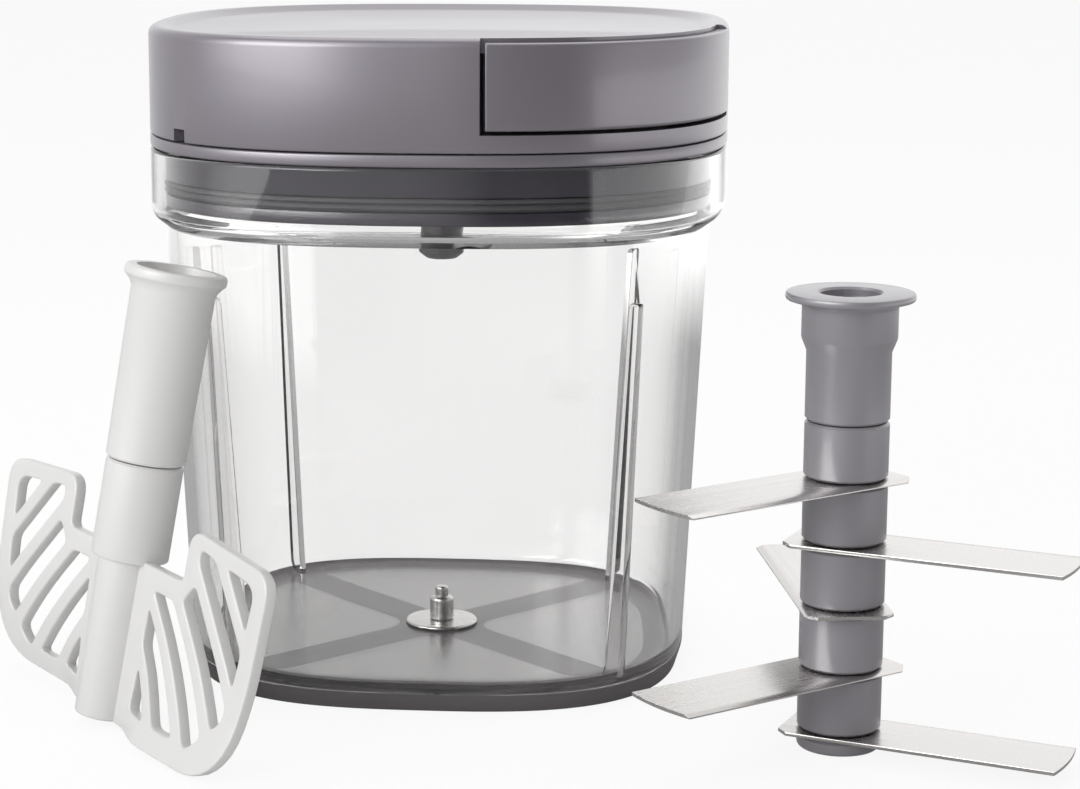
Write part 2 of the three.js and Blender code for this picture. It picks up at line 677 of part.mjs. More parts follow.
// Eyelet: a smooth bush where the cord passes the recess's wall
const eyeletStart = (recessHalf - recessWall) * cornerStretch - 2 * seat;
function makeEyelet() {
  const bore = cordRadius + running;
  const end = recessHalf * cornerStretch - 2 * seat;
  const flangeStart = eyeletStart - eyeletFlangeThickness;
  piece('cord_eyelet', alongPull(turned(loop([
    point(bore + edgeBreak, flangeStart), point(eyeletFlange, flangeStart),
    point(eyeletFlange, eyeletStart), point(eyeletRadius, eyeletStart), point(eyeletRadius, end),
    point(bore, end), point(bore, flangeStart + edgeBreak),
  ]), 20)), innerWhite);
}

// Cord: the wound part on the drum and the lead from the drum to the handle
const windingRadius = drumRadius + seat + cordRadius;
const windingPitch = 2 * cordRadius + windingGap;
const eyeletCentre = (recessHalf - recessWall) * cornerStretch;
// The straight run meets the winding where it is square to the drum's radius.
const bendStart = eyeletCentre - eyeletFlangeThickness - cordBend * Math.tan(Math.PI / 16) - seat;
const leaveAngle = pullAngle - Math.acos(windingRadius / bendStart);

// A tube of the cord's section along points, with flat ends square to its path.
function cordTube(points, radius, sides) {
  const up = new THREE.Vector3(0, 0, 1);
  const positions = [];
  points.forEach((p, i) => {
    const before = points[Math.max(i - 1, 0)];
    const after = points[Math.min(i + 1, points.length - 1)];
    const along = new THREE.Vector3().subVectors(after, before).normalize();
    const side = new THREE.Vector3().crossVectors(along, up).normalize();
    const over = new THREE.Vector3().crossVectors(side, along);
    for (let k = 0; k < sides; k += 1) {
      const angle = (2 * Math.PI * k) / sides;
      const place = p.clone().addScaledVector(side, radius * Math.cos(angle));
      place.addScaledVector(over, radius * Math.sin(angle));
      positions.push(place.x, place.y, place.z);
    }
  });
  const index = [];
  for (let i = 0; i + 1 < points.length; i += 1) {
    for (let k = 0; k < sides; k += 1) {
      const a = i * sides + k;
      const b = i * sides + ((k + 1) % sides);
      index.push(a, b + sides, b, a, a + sides, b + sides);
    }
  }
  const last = (points.length - 1) * sides;
  for (let k = 1; k + 1 < sides; k += 1) {
    index.push(0, k, k + 1);
    index.push(last, last + k + 1, last + k);
  }
  const geometry = new THREE.BufferGeometry();
  geometry.setAttribute('position', new THREE.Float32BufferAttribute(positions, 3));
  geometry.setIndex(index);
  return geometry;
}

function leastGap(points, radius, skip) {
  let least = Infinity;
  for (let i = 0; i < points.length; i += 1) {
    for (let j = i + skip; j < points.length; j += 1) least = Math.min(least, points[i].distanceTo(points[j]));
  }
  return least - 2 * radius;
}

function windingPoints() {
  const stepsPerTurn = 24;
  const steps = Math.round(windingTurns * stepsPerTurn);
  const points = [];
  const startAngle = leaveAngle - (steps * 2 * Math.PI) / stepsPerTurn;
  for (let i = 0; i <= steps; i += 1) {
    const angle = startAngle + (i * 2 * Math.PI) / stepsPerTurn;
    const z = cordZ - ((steps - i) * windingPitch) / stepsPerTurn;
    points.push(new THREE.Vector3(windingRadius * Math.cos(angle), windingRadius * Math.sin(angle), z));
  }
  const diameter = 2 * cordRadius;
  const straight = (from, angle, way) =>
    from.clone().add(new THREE.Vector3(-Math.sin(angle), Math.cos(angle), 0).multiplyScalar(way * diameter));
  points.unshift(straight(points[0], startAngle, -1));
  points.push(straight(points[points.length - 1], leaveAngle, 1));
  return { points, startAngle, stepsPerTurn };
}

function leadPoints() {
  const along = new THREE.Vector3(-Math.sin(leaveAngle), Math.cos(leaveAngle), 0);
  const leave = point(windingRadius, 0).rotateAround(point(0, 0), leaveAngle);
  const from = new THREE.Vector3(leave.x, leave.y, cordZ).addScaledVector(along, 2 * cordRadius + seat);
  const pull = new THREE.Vector3(Math.cos(pullAngle), Math.sin(pullAngle), 0);
  const corner = pull.clone().multiplyScalar(bendStart).setZ(cordZ);
  const turn = Math.acos(along.dot(pull));
  const tangent = cordBend * Math.tan(turn / 2);
  const points = [from];
  const runs = 6;
  const bendFrom = corner.clone().addScaledVector(along, -tangent);
  for (let i = 1; i < runs; i += 1) points.push(from.clone().lerp(bendFrom, i / runs));
  const bendTo = corner.clone().addScaledVector(pull, tangent);
  const bendSteps = 5;
  const bend = new THREE.QuadraticBezierCurve3(bendFrom, corner, bendTo);
  points.push(...bend.getPoints(bendSteps));
  const end = pull.clone().multiplyScalar(shellInner * cornerStretch).setZ(cordZ);
  const tailRuns = 4;
  for (let i = 1; i <= tailRuns; i += 1) points.push(bendTo.clone().lerp(end, i / tailRuns));
  return points;
}

function makeCord() {
  const winding = windingPoints();
  const self = leastGap(winding.points, cordRadius, winding.stepsPerTurn - 4);
  console.log(`cord winding: least gap to itself ${self.toFixed(2)} mm`);
  piece('cord_winding', cordTube(winding.points, cordRadius, 6), cordWhite);
  piece('cord_lead', cordTube(leadPoints(), cordRadius, 8), cordWhite);
}

// Reel: drum, flanges and the cup that houses the mainspring
const reelTopZ = cordZ + cordRadius + reelZoneMargin + reelFlangeThickness;
const zoneTopZ = reelTopZ - reelFlangeThickness;
const zoneLowZ = zoneTopZ - reelZoneHeight;
const cupTopZ = zoneLowZ - reelFlangeThickness;
const cupLowZ = cupTopZ - springCupDepth;
const reelBore = postRadius + drumBoreClearance;

function makeReel() {
  const body = turned(loop([
    point(reelBore, cupTopZ), point(springCupRadius, cupTopZ), point(springCupRadius, cupLowZ),
    point(springCupRadius + springCupWall, cupLowZ), point(springCupRadius + springCupWall, cupTopZ),
    point(reelFlangeRadius, cupTopZ), point(reelFlangeRadius, zoneLowZ), point(drumRadius, zoneLowZ),
    point(drumRadius, zoneTopZ), point(reelFlangeRadius, zoneTopZ), point(reelFlangeRadius, reelTopZ),
    point(reelBore, reelTopZ),
  ]), 32);
  // The cord's inner end butts on a lug that stands on the drum between the flanges.
  const { points, startAngle } = windingPoints();
  const first = points[0];
  const lugLength = 3 * cordRadius;
  const lug = new THREE.BoxGeometry(4 * cordRadius, lugLength, 2 * cordRadius)
    .translate(windingRadius - cordRadius, -lugLength / 2 - 2 * cordRadius - seat, first.z);
  piece('reel', join(body, lug.rotateZ(startAngle)), innerWhite);

  const coverTop = cupLowZ - seat;
  const coverLow = coverTop - springCoverThickness;
  const cover = tube(spindlePilotRadius + running, springCupRadius + springCupWall, coverLow, coverTop, 32);
  const pins = Array.from({ length: pawlCount }, (_, i) =>
    plug(pawlPinRadius, coverLow - ratchetThickness, coverLow + springCoverThickness / 2, 10)
      .translate(pawlCircle, 0, 0).rotateZ((i * 2 * Math.PI) / pawlCount));
  piece('spring_cover', join(cover, ...pins), innerWhite);
}

const clutchTopZ = cupLowZ - 2 * seat - springCoverThickness;
const clutchLowZ = clutchTopZ - ratchetThickness + seat;

// Pawl: a tapered finger on a pin of the spring's cover, its nose against the ratchet's teeth
function pawlShape() {
  const noseRadius = ratchetRadius + seat + edgeBreak;
  const nose = point(noseRadius, 0).rotateAround(point(0, 0), degrees(pawlNoseAngle));
  const toNose = Math.atan2(nose.y, nose.x - pawlCircle);
  const outward = toNose - Math.PI / 2;
  const shape = new THREE.Shape();
  shape.absarc(pawlCircle, 0, pawlWidth / 2, outward - Math.PI, outward, false);
  shape.lineTo(nose.x + edgeBreak * Math.cos(outward), nose.y + edgeBreak * Math.sin(outward));
  shape.lineTo(nose.x, nose.y);
  const hole = new THREE.Path();
  hole.absarc(pawlCircle, 0, pawlBore, 0, 2 * Math.PI, true);
  shape.holes.push(hole);
  return shape;
}

function makeClutch() {
  for (let i = 0; i < pawlCount; i += 1) {
    const pawl = prism(pawlShape(), clutchLowZ, clutchTopZ - seat).rotateZ((i * 2 * Math.PI) / pawlCount);
    piece(`pawl_${i + 1}`, pawl, pinSteel);
  }
  const ringInner = pawlCircle + pawlWidth / 2 + seat;
  const ringMiddle = (clutchLowZ + clutchTopZ) / 2;
  piece('pawl_spring', tube(ringInner, ringInner + 2 * springRingRadius, ringMiddle - springRingRadius,
    ringMiddle + springRingRadius, 24), springSteel);
}

// Ratchet wheel: saw teeth, each rising along a slope and dropping straight back
function ratchetShape() {
  const shape = new THREE.Shape();
  for (let i = 0; i < ratchetTeeth; i += 1) {
    const from = (i * 2 * Math.PI) / ratchetTeeth;
    const to = ((i + 1) * 2 * Math.PI) / ratchetTeeth;
    const root = ratchetRadius - ratchetStep;
    const tip = [ratchetRadius * Math.cos(from), ratchetRadius * Math.sin(from)];
    if (i === 0) shape.moveTo(...tip);
    else shape.lineTo(...tip);
    shape.lineTo(root * Math.cos(to), root * Math.sin(to));
  }
  return shape;
}

const bushingTopZ = bearingTopZ + seat + bushingFlangeThickness;
const washerLowZ = bushingTopZ + seat;

function makeSpindle() {
  piece('spindle_bushing', turned(loop([
    point(spindleRadius + running, trayUnderZ), point(hubInner - seat, trayUnderZ),
    point(hubInner - seat, bearingTopZ + seat), point(hubOuter, bearingTopZ + seat),
    point(hubOuter, bushingTopZ), point(spindleRadius + running, bushingTopZ),
  ])), blackPlastic);
  const washer = tube(spindleRadius + running, hubOuter, washerLowZ, washerLowZ + washerThickness);
  piece('thrust_washer', washer, pinSteel);

  const headTopZ = spindleTipZ + spindleHeadLength;
  const head = common(sixSided(spindleHeadAcross, spindleTipZ, headTopZ), turned([
    point(0, spindleTipZ), point(spindleHeadAcross / 2 - spindleTipRound, spindleTipZ),
    point(spindleHeadAcross / 2 + edgeBreak, spindleTipZ + spindleTipRound),
    point(spindleHeadAcross, headTopZ - edgeBreak), point(spindleHeadAcross, headTopZ), point(0, headTopZ),
  ]));
  const wheelLowZ = washerLowZ + washerThickness + seat;
  const shaft = plug(spindleRadius, headTopZ - edgeBreak, (wheelLowZ + clutchTopZ) / 2);
  const wheel = prism(ratchetShape(), wheelLowZ, clutchTopZ - seat);
  const pilot = plug(spindlePilotRadius, clutchTopZ - ratchetThickness, clutchTopZ + spindlePilotLength, 20);
  piece('drive_spindle', join(head, shaft, wheel, pilot), skirtGrey);
}

// Post: fixed in the cover, the reel runs on it and the mainspring hooks into its slot
function makePost() {
  const flangeTop = roofUnderZ - postSpigotLength;
  const flangeLow = flangeTop - postFlangeThickness;
  const low = cupLowZ + seat;
  const post = turned([
    point(0, low), point(postRadius - edgeBreak, low), point(postRadius, low + edgeBreak),
    point(postRadius, flangeLow), point(postFlangeRadius, flangeLow), point(postFlangeRadius, flangeTop),
    point(postSpigotRadius, flangeTop), point(postSpigotRadius, roofUnderZ - seat), point(0, roofUnderZ - seat),
  ]);
  const slotHigh = cupTopZ - seat;
  const slot = new THREE.BoxGeometry(2 * postRadius, postSlotWidth, slotHigh - low + overrun)
    .translate(postRadius, 0, (slotHigh + low - overrun) / 2);
  piece('reel_post', cut(post, slot), pinSteel);
}

// Mainspring: one flat strip that spirals from the post's slot out to the cup's wall
function makeMainspring() {
  const inner = postRadius + 2 * seat;
  const outer = springCupRadius - seat - springStrip;
  const steps = springTurns * springSteps;
  const low = cupLowZ + (cupTopZ - cupLowZ - springHeight) / 2;
  const line = [];
  for (let i = 0; i <= steps; i += 1) {
    const angle = (i * 2 * Math.PI) / springSteps;
    const radius = THREE.MathUtils.lerp(inner + springStrip, outer, i / steps);
    line.push(point(radius * Math.cos(angle), radius * Math.sin(angle)));
  }
  const hooked = [point(postRadius / 2, 0), ...line];
  const outline = [];
  const back = [];
  hooked.forEach((p, i) => {
    const before = hooked[Math.max(i - 1, 0)];
    const after = hooked[Math.min(i + 1, hooked.length - 1)];
    const along = new THREE.Vector2().subVectors(after, before).normalize();
    const side = point(along.y, -along.x).multiplyScalar(springStrip / 2);
    outline.push(p.clone().add(side));
    back.unshift(p.clone().sub(side));
  });
  piece('mainspring', prism([...outline, ...back], low, low + springHeight), springSteel);
}

// Cutter: a flanged core, five spacers, five blades and an end cap, stacked on one axis
const cutter = new THREE.Group();
cutter.position.set(lidHalf + cutterAside, -lidHalf - cutterForward, 0);
cutter.rotation.z = degrees(bladeFirstAngle);
chopper.add(cutter);

const bladeLowZ = (level) => endCapHeight + seat + level * bladePitch;
const topSleeveZ = bladeLowZ(bladeCount) - grooveChamfer;
const neckLowZ = bladeLowZ(bladeCount) + topSleeveLength;
const cutterHeight = neckLowZ + neckRise;

function makeCutterCore() {
  const coveRadius = cutterFlangeThickness;
  const coveLowZ = cutterHeight - cutterFlangeThickness - coveRadius;
  const sleeve = turned([
    point(0, topSleeveZ), point(cutterRadius - grooveChamfer, topSleeveZ),
    point(cutterRadius, topSleeveZ + grooveChamfer), point(cutterRadius, neckLowZ - neckConeHeight),
    point(cutterNeckRadius, neckLowZ),
    ...fillet(cutterNeckRadius + coveRadius, coveLowZ, coveRadius, 180, 90, 2),
    point(cutterFlangeRadius - edgeBreak, cutterHeight - cutterFlangeThickness),
    point(cutterFlangeRadius, cutterHeight - cutterFlangeThickness + edgeBreak),
    point(cutterFlangeRadius, cutterHeight - edgeBreak), point(cutterFlangeRadius - edgeBreak, cutterHeight),
    point(0, cutterHeight),
  ]);
  const shank = sixSided(coreAcross, edgeBreak, topSleeveZ + grooveChamfer);
  const mouth = plug(mouthRadius, cutterHeight - mouthDepth, cutterHeight + overrun);
  const socket = sixSided(socketAcross, cutterHeight - mouthDepth - socketDepth, cutterHeight);
  const pinSocket = plug(pinRadius + running, -overrun, pinSocketDepth, 16);
  piece('cutter_core', cut(join(sleeve, shank), mouth, socket, pinSocket), cutterGrey, cutter);
}

function grooveRing(low, high) {
  const ring = turned([
    point(0, low), point(cutterRadius - grooveChamfer, low), point(cutterRadius, low + grooveChamfer),
    point(cutterRadius, high - grooveChamfer), point(cutterRadius - grooveChamfer, high), point(0, high),
  ]);
  return cut(ring, sixSided(coreAcross + 2 * seat, low - overrun, high + overrun));
}

// Blade in its own plane: +X is its length, +Y the side that leads as the cutter turns
function bladeShape() {
  const shape = new THREE.Shape();
  shape.moveTo(-bladeTail, bladeTailCut - bladeTrail);
  shape.lineTo(bladeTailCut - bladeTail, -bladeTrail);
  // The tip is an arc about the axis, with square corners.
  shape.absarc(0, 0, bladeReach, -Math.asin(bladeTrail / bladeReach), Math.asin(bladeLead / bladeReach), false);
  shape.lineTo(bladeTailCut - bladeTail, bladeLead);
  shape.lineTo(-bladeTail, bladeLead - bladeTailCut);
  return shape;
}

function bladeGeometry(low) {
  const sheet = prism(bladeShape(), low, low + bladeThickness);
  const hole = sixSided(coreAcross + 2 * seat, low - overrun, low + overrun);
  // The leading edge is ground from above along its whole length.
  const ground = new THREE.Shape();
  ground.moveTo(bladeLead - bladeBevel, low + bladeThickness);
  ground.lineTo(bladeLead + bladeBevel, low + 2 * bladeEdge - bladeThickness);
  ground.lineTo(bladeLead + bladeBevel, low + 2 * bladeThickness);
  ground.lineTo(bladeLead - bladeBevel, low + 2 * bladeThickness);
  const length = bladeTail + bladeReach + 2 * overrun;
  const grinding = new THREE.ExtrudeGeometry(ground, { depth: length, bevelEnabled: false })
    .rotateX(Math.PI / 2).rotateZ(Math.PI / 2).translate(-bladeTail - overrun, 0, 0);
  return cut(sheet, hole, grinding);
}

function makeCutterStack() {
  piece('cutter_end_cap', grooveRing(0, endCapHeight), cutterGrey, cutter);
  for (let i = 0; i < bladeCount; i += 1) {
    const level = bladeCount - 1 - i;
    const low = bladeLowZ(level);
    const turn = degrees(i * bladeTurn);
    piece(`blade_${i + 1}`, bladeGeometry(low).rotateZ(turn), bladeSteel, cutter);
    const spacerLow = low + bladeThickness + seat;
    const spacerHigh = level + 1 < bladeCount ? bladeLowZ(level + 1) - seat : topSleeveZ - seat;
    piece(`spacer_${i + 1}`, grooveRing(spacerLow, spacerHigh), cutterGrey, cutter);
  }
}

// Paddle: an upper sleeve over a body whose hub carries two slotted wings
const paddle = new THREE.Group();
paddle.rotation.order = 'ZYX';
const leanTurn = new THREE.Group();
leanTurn.rotation.set(0, degrees(paddleLean), 0);
paddle.rotation.z = degrees(paddleLeanAngle);
paddle.add(leanTurn);
const wingTurn = new THREE.Group();
wingTurn.rotation.z = degrees(paddleTwist - paddleLeanAngle);
leanTurn.add(wingTurn);
chopper.add(paddle);

function makePaddleSleeve() {
  const low = sleeveSeamZ + seat;
  const flangeLow = paddleHeight - sleeveFlangeThickness;
  const seamShare = (sleeveSeamZ - hubTopZ) / (paddleHeight - hubTopZ);
  const seamRadius = THREE.MathUtils.lerp(sleeveLowRadius, sleeveTopRadius, seamShare);
  const body = turned([
    point(0, low), point(seamRadius - grooveChamfer, low), point(seamRadius, low + grooveChamfer),
    point(sleeveTopRadius, flangeLow - sleeveFlangeThickness),
    point(sleeveFlangeRadius - edgeBreak, flangeLow), point(sleeveFlangeRadius, flangeLow + edgeBreak),
    point(sleeveFlangeRadius, paddleHeight - edgeBreak), point(sleeveFlangeRadius - edgeBreak, paddleHeight),
    point(0, paddleHeight),
  ]);
  const mouth = plug(sleeveTopRadius - edgeBreak, paddleHeight - mouthDepth, paddleHeight + overrun);
  const socket = sixSided(socketAcross, paddleHeight - mouthDepth - socketDepth, paddleHeight);
  const spigotRoom = plug(coreAcross / 2 + seat, low - overrun, low + pinSocketDepth + seat, 20);
  piece('paddle_sleeve', cut(body, mouth, socket, spigotRoom), paddleWhite, wingTurn);
}

// One wing's corners in distance from the axis and height, each with the radius it is rounded to
function wingCorners() {
  return [
    [point(0, 0), 0],
    [point(wingFootReach, 0), wingFootRound],
    [point(wingTopReach, wingTopZ - wingTopFall), wingTopRound],
    [point(wingShoulder, wingTopZ), wingStepRound],
    [point(wingShoulder, wingWebZ), edgeBreak],
    [point(0, wingWebZ), 0],
  ];
}

// The window that the slots are cut in: the wing's outline less its frame
function wingWindow() {
  const top = wingTopZ - wingTopFrame;
  return [
    point(hubRadius + slotHubGap, wingFrame), point(wingFootReach - wingFootRound, wingFrame),
    point(wingFootReach - wingFrame, wingFootRound), point(wingTopReach - wingFrame, top - wingTopFall),
    point(wingShoulder + wingFrame, top), point(wingShoulder + wingFrame, wingWebZ + edgeBreak),
    point(wingShoulder, wingWebZ - wingFrame), point(hubRadius + slotHubGap, wingWebZ - wingFrame),
  ];
}

// The part of an outline on one side of a line, given as a normal and its distance from the origin
function clipped(points, normal, limit) {
  const kept = [];
  points.forEach((p, i) => {
    const next = points[(i + 1) % points.length];
    const here = p.dot(normal) - limit;
    const there = next.dot(normal) - limit;
    if (here >= 0) kept.push(p);
    if (here * there < 0) kept.push(p.clone().lerp(next, here / (here - there)));
  });
  return kept;
}

// A closed run of points through corners, each rounded and no straight edge longer than the wing's step
function rounded(corners) {
  const points = [];
  corners.forEach(([corner, radius], i) => {
    const before = corners[(i + corners.length - 1) % corners.length][0];
    const after = corners[(i + 1) % corners.length][0];
    const back = Math.min(radius, corner.distanceTo(before) / 2);
    const on = Math.min(radius, corner.distanceTo(after) / 2);
    const from = corner.clone().lerp(before, back / corner.distanceTo(before));
    const to = corner.clone().lerp(after, on / corner.distanceTo(after));
    if (radius === 0) points.push(corner.clone());
    else points.push(...new THREE.QuadraticBezierCurve(from, corner, to).getPoints(4));
  });
  return points.flatMap((p, i) => {
    const next = points[(i + 1) % points.length];
    const runs = Math.max(1, Math.ceil(p.distanceTo(next) / wingStep));
    return Array.from({ length: runs }, (_, k) => p.clone().lerp(next, k / runs));
  });
}

// Slots fall outwards, one pitch apart, counted from the hub's foot.
function wingSlots() {
  const across = point(Math.sin(degrees(slotAngle)), Math.cos(degrees(slotAngle)));
  return Array.from({ length: slotCount }, (_, i) => {
    const middle = slotFirst + i * slotPitch;
    const above = clipped(wingWindow(), across, middle - slotWidth / 2);
    const slot = clipped(above, across.clone().negate(), -middle - slotWidth / 2);
    return rounded(slot.map((corner) => [corner, slotRound]));
  });
}

function wingPlate() {
  const shape = new THREE.Shape(rounded(wingCorners()));
  shape.holes = wingSlots().map((points) => new THREE.Path([...points].reverse()));
  const flat = new THREE.ExtrudeGeometry(shape, { depth: wingThickness, bevelEnabled: false })
    .translate(0, 0, -wingThickness / 2).rotateX(Math.PI / 2);
  const plate = closed(new TessellateModifier(2 * wingStep, wingSplits).modify(flat));
  // The lower edge is swept back, more the lower and the farther out it lies.
  const position = plate.attributes.position;
  for (let i = 0; i < position.count; i += 1) {
    const height = THREE.MathUtils.clamp(1 - position.getZ(i) / wingCurlHeight, 0, 1);
    const out = THREE.MathUtils.smoothstep(position.getX(i), hubRadius, wingShoulder);
    position.setY(i, position.getY(i) - wingCurl * height * height * out);
  }
  return plate;
}

function makePaddleBody() {
  const spigotTopZ = sleeveSeamZ + pinSocketDepth;
  const lowerSleeve = turned([
    point(0, hubTopZ), point(sleeveLowRadius - edgeBreak, hubTopZ), point(sleeveLowRadius, hubTopZ + edgeBreak),
    point(sleeveLowRadius, sleeveSeamZ - grooveChamfer), point(sleeveLowRadius - grooveChamfer, sleeveSeamZ),
    point(coreAcross / 2, sleeveSeamZ), point(coreAcross / 2, spigotTopZ), point(0, spigotTopZ),
  ]);
  const hub = turned([
    point(0, 0), point(hubLowRadius - edgeBreak, 0), point(hubLowRadius, edgeBreak),
    point(hubRadius, hubTopZ + edgeBreak), point(0, hubTopZ + edgeBreak),
  ], 24);
  const body = join(lowerSleeve, hub, wingPlate(), wingPlate().rotateZ(Math.PI));
  const pinSocket = plug(pinRadius + running, -overrun, pinSocketDepth, 16);
  piece('paddle_body', cut(body, pinSocket), paddleWhite, wingTurn);
}

makeBowl();
makePad();
makePin();
makeCover();
makeTray();
makeLidScrews();
makeHandle();
makeEyelet();
makeCord();
makeReel();
makeClutch();
makeSpindle();
makePost();
makeMainspring();
makeCutterCore();
makeCutterStack();
makePaddleSleeve();
makePaddleBody();

// How far outside the bowl's wall a point lies, along its own radius
function wallGap(place) {
  const reach = wallHalf(place.z) * planReach(Math.atan2(place.y, place.x), bowlSquareness);
  return Math.hypot(place.x, place.y) - reach;
}

// The least of that gap round the paddle's flange
function flangeGap() {
  const steps = 36;
  const gaps = Array.from({ length: steps }, (_, i) => {
    const angle = (i * 2 * Math.PI) / steps;
    const rim = point(sleeveFlangeRadius, 0).rotateAround(point(0, 0), angle);
    return wallGap(new THREE.Vector3(rim.x, rim.y, paddleHeight).applyMatrix4(wingTurn.matrixWorld));
  });
  return Math.min(...gaps);
}

// The leaning paddle is slid towards the bowl until its flange nearly touches the wall.
const footBearing = degrees(paddleBearing);
const outward = new THREE.Vector3(Math.cos(footBearing), Math.sin(footBearing), 0);
paddle.position.copy(outward).multiplyScalar(2 * lidHalf);
const slides = 6;
for (let i = 0; i < slides; i += 1) {
  paddle.updateMatrixWorld(true);
  paddle.position.addScaledVector(outward, running - flangeGap());
}

// Then it is lifted until its lowest point rests on the table.
paddle.updateMatrixWorld(true);
const paddleBox = new THREE.Box3().setFromObject(paddle, true);
paddle.position.z = -paddleBox.min.z;

export default chopper;
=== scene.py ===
# %% [markdown]
# # A hand-pulled food chopper
# The object is a clear bowl under a grey lid, with the five-blade cutter and the mixing paddle standing
# beside it. Pulling the grip in the lid's corner unwinds a cord from a reel, and the reel turns whichever
# tool stands in the bowl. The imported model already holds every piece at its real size, so this lesson only
# makes the fine surfaces and the finishes, and it never moves a piece.

# %% Load the frame
import math

import bpy
from mathutils import Matrix, Vector


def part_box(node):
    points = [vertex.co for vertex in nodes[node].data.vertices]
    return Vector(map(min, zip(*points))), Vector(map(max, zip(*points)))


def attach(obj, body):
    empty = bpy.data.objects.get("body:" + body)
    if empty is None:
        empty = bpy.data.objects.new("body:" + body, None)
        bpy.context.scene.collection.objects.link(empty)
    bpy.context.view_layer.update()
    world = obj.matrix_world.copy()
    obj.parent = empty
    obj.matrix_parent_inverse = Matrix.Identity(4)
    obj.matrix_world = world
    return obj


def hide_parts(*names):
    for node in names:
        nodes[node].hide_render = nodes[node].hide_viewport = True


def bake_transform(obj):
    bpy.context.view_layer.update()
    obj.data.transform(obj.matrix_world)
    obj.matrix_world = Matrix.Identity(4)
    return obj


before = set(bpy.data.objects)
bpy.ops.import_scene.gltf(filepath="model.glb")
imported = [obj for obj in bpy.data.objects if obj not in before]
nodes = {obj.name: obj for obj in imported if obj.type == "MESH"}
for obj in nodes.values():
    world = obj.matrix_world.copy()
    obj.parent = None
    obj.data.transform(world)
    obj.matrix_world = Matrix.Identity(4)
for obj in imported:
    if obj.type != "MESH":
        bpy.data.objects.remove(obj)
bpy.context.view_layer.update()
print("nodes in the frame:", len(nodes))

# %% [markdown]
# ## Camera
# The camera stands about 0.64 m away and 0.19 m up, a little to the right of the bowl, and looks down by 11
# degrees. The long lens keeps the bowl's sides nearly upright. The shift frames the two tools without
# turning the camera.

# %% Camera
IMAGE_WIDTH, IMAGE_HEIGHT = 1080, 789
SENSOR_WIDTH = 36.0
CAMERA_DISTANCE = 0.640
CAMERA_HEIGHT = 0.1899
CAMERA_TURN = 0.09
CAMERA_PITCH = 0.19
FOCAL_PIXELS = 2711.67
CENTRE_X, CENTRE_Y = 442.19, 370.46


def add_camera():
    data = bpy.data.cameras.new("camera")
    data.sensor_width = SENSOR_WIDTH
    data.lens = SENSOR_WIDTH * FOCAL_PIXELS / IMAGE_WIDTH
    data.shift_x = (IMAGE_WIDTH / 2 - CENTRE_X) / IMAGE_WIDTH
    data.shift_y = (CENTRE_Y - IMAGE_HEIGHT / 2) / IMAGE_WIDTH
    camera = bpy.data.objects.new("camera", data)
    bpy.context.scene.collection.objects.link(camera)
    aside = CAMERA_DISTANCE * math.sin(CAMERA_TURN)
    back = CAMERA_DISTANCE * math.cos(CAMERA_TURN)
    camera.location = (aside, -back, CAMERA_HEIGHT)
    camera.rotation_euler = (math.pi / 2 - CAMERA_PITCH, 0, CAMERA_TURN)
    bpy.context.scene.camera = camera
    return camera


camera = add_camera()
bpy.context.scene.view_settings.view_transform = "Standard"
print("lens:", round(camera.data.lens, 2), "mm")

# %% [markdown]
# ## Lamps
# The photograph is a catalogue picture: a white ground, large soft lamps and no hard shadow. One broad lamp
# stands at the left, one hangs overhead and a very weak one stands at the right, so the lid's left third is
# the brightest. They are area lamps, because a small lamp throws a hard shadow.

# %% Lamps
MIDDLE = Vector((0.0, 0.0, 0.08))
LAMPS = {
    "left_lamp": ((-0.62, -0.69, 0.46), (0.75, 0.50), 4.9),
    "right_lamp": ((0.88, -0.20, 0.45), (0.70, 0.60), 0.3),
    "top_lamp": ((0.0, 0.25, 0.95), (0.9, 0.7), 3.6),
}


def add_lamp(name, place, size, watts):
    data = bpy.data.lights.new(name, "AREA")
    data.shape = "RECTANGLE"
    data.size, data.size_y = size
    data.energy = watts
    lamp = bpy.data.objects.new(name, data)
    bpy.context.scene.collection.objects.link(lamp)
    lamp.location = place
    lamp.rotation_euler = (MIDDLE - Vector(place)).to_track_quat("-Z", "Y").to_euler()


for name, (place, size, watts) in LAMPS.items():
    add_lamp(name, place, size, watts)
print("lamps:", len(LAMPS))

# %% [markdown]
# ## Room
# Clear and glossy plastic show the room they stand in, and in a wholly white room they have no outline. A
# real studio has bright panels and dark gaps round the object. Modelled panels would light the object too,
# so here only mirrored rays see them, as a tone for each direction round the object: one row for the bench
# and one for the walls above it. The bench close to the object and the ceiling straight above it have one
# darker tone. Rays that go straight, or only through the clear bowl, meet plain white, and all others meet
# the even light that fills the shadows.

# %% Node helpers
def link(tree, source, target):
    tree.links.new(source, target)


def feed(tree, value, socket):
    if isinstance(value, (int, float)):
        socket.default_value = value
    else:
        link(tree, value, socket)


def reckon(tree, operation, first, second):
    node = tree.nodes.new("ShaderNodeMath")
    node.operation = operation
    feed(tree, first, node.inputs[0])
    feed(tree, second, node.inputs[1])
    return node.outputs["Value"]


def between(tree, share, low, high):
    node = tree.nodes.new("ShaderNodeMix")
    feed(tree, share, node.inputs[0])
    feed(tree, low, node.inputs[2])
    feed(tree, high, node.inputs[3])
    return node.outputs[0]


print("node helpers: 4")

# %% Tones by direction
BRIGHTEST = 4.0
BENCH_TONES = (
    (-180, 1.3), (-140, 0.9), (-110, 0.7), (-60, 0.7), (-32, 0.7), (-7, 0.6), (8, 0.04),
    (46, 0.04), (48, 2.5), (100, 2.3), (140, 1.6), (180, 1.3))
WALL_TONES = (
    (-180, 1.3), (-140, 0.9), (-90, 0.7), (-66, 3.4), (-30, 4.0), (-12, 0.9), (8, 0.04),
    (46, 0.04), (48, 0.5), (100, 0.7), (140, 1.4), (180, 1.3))


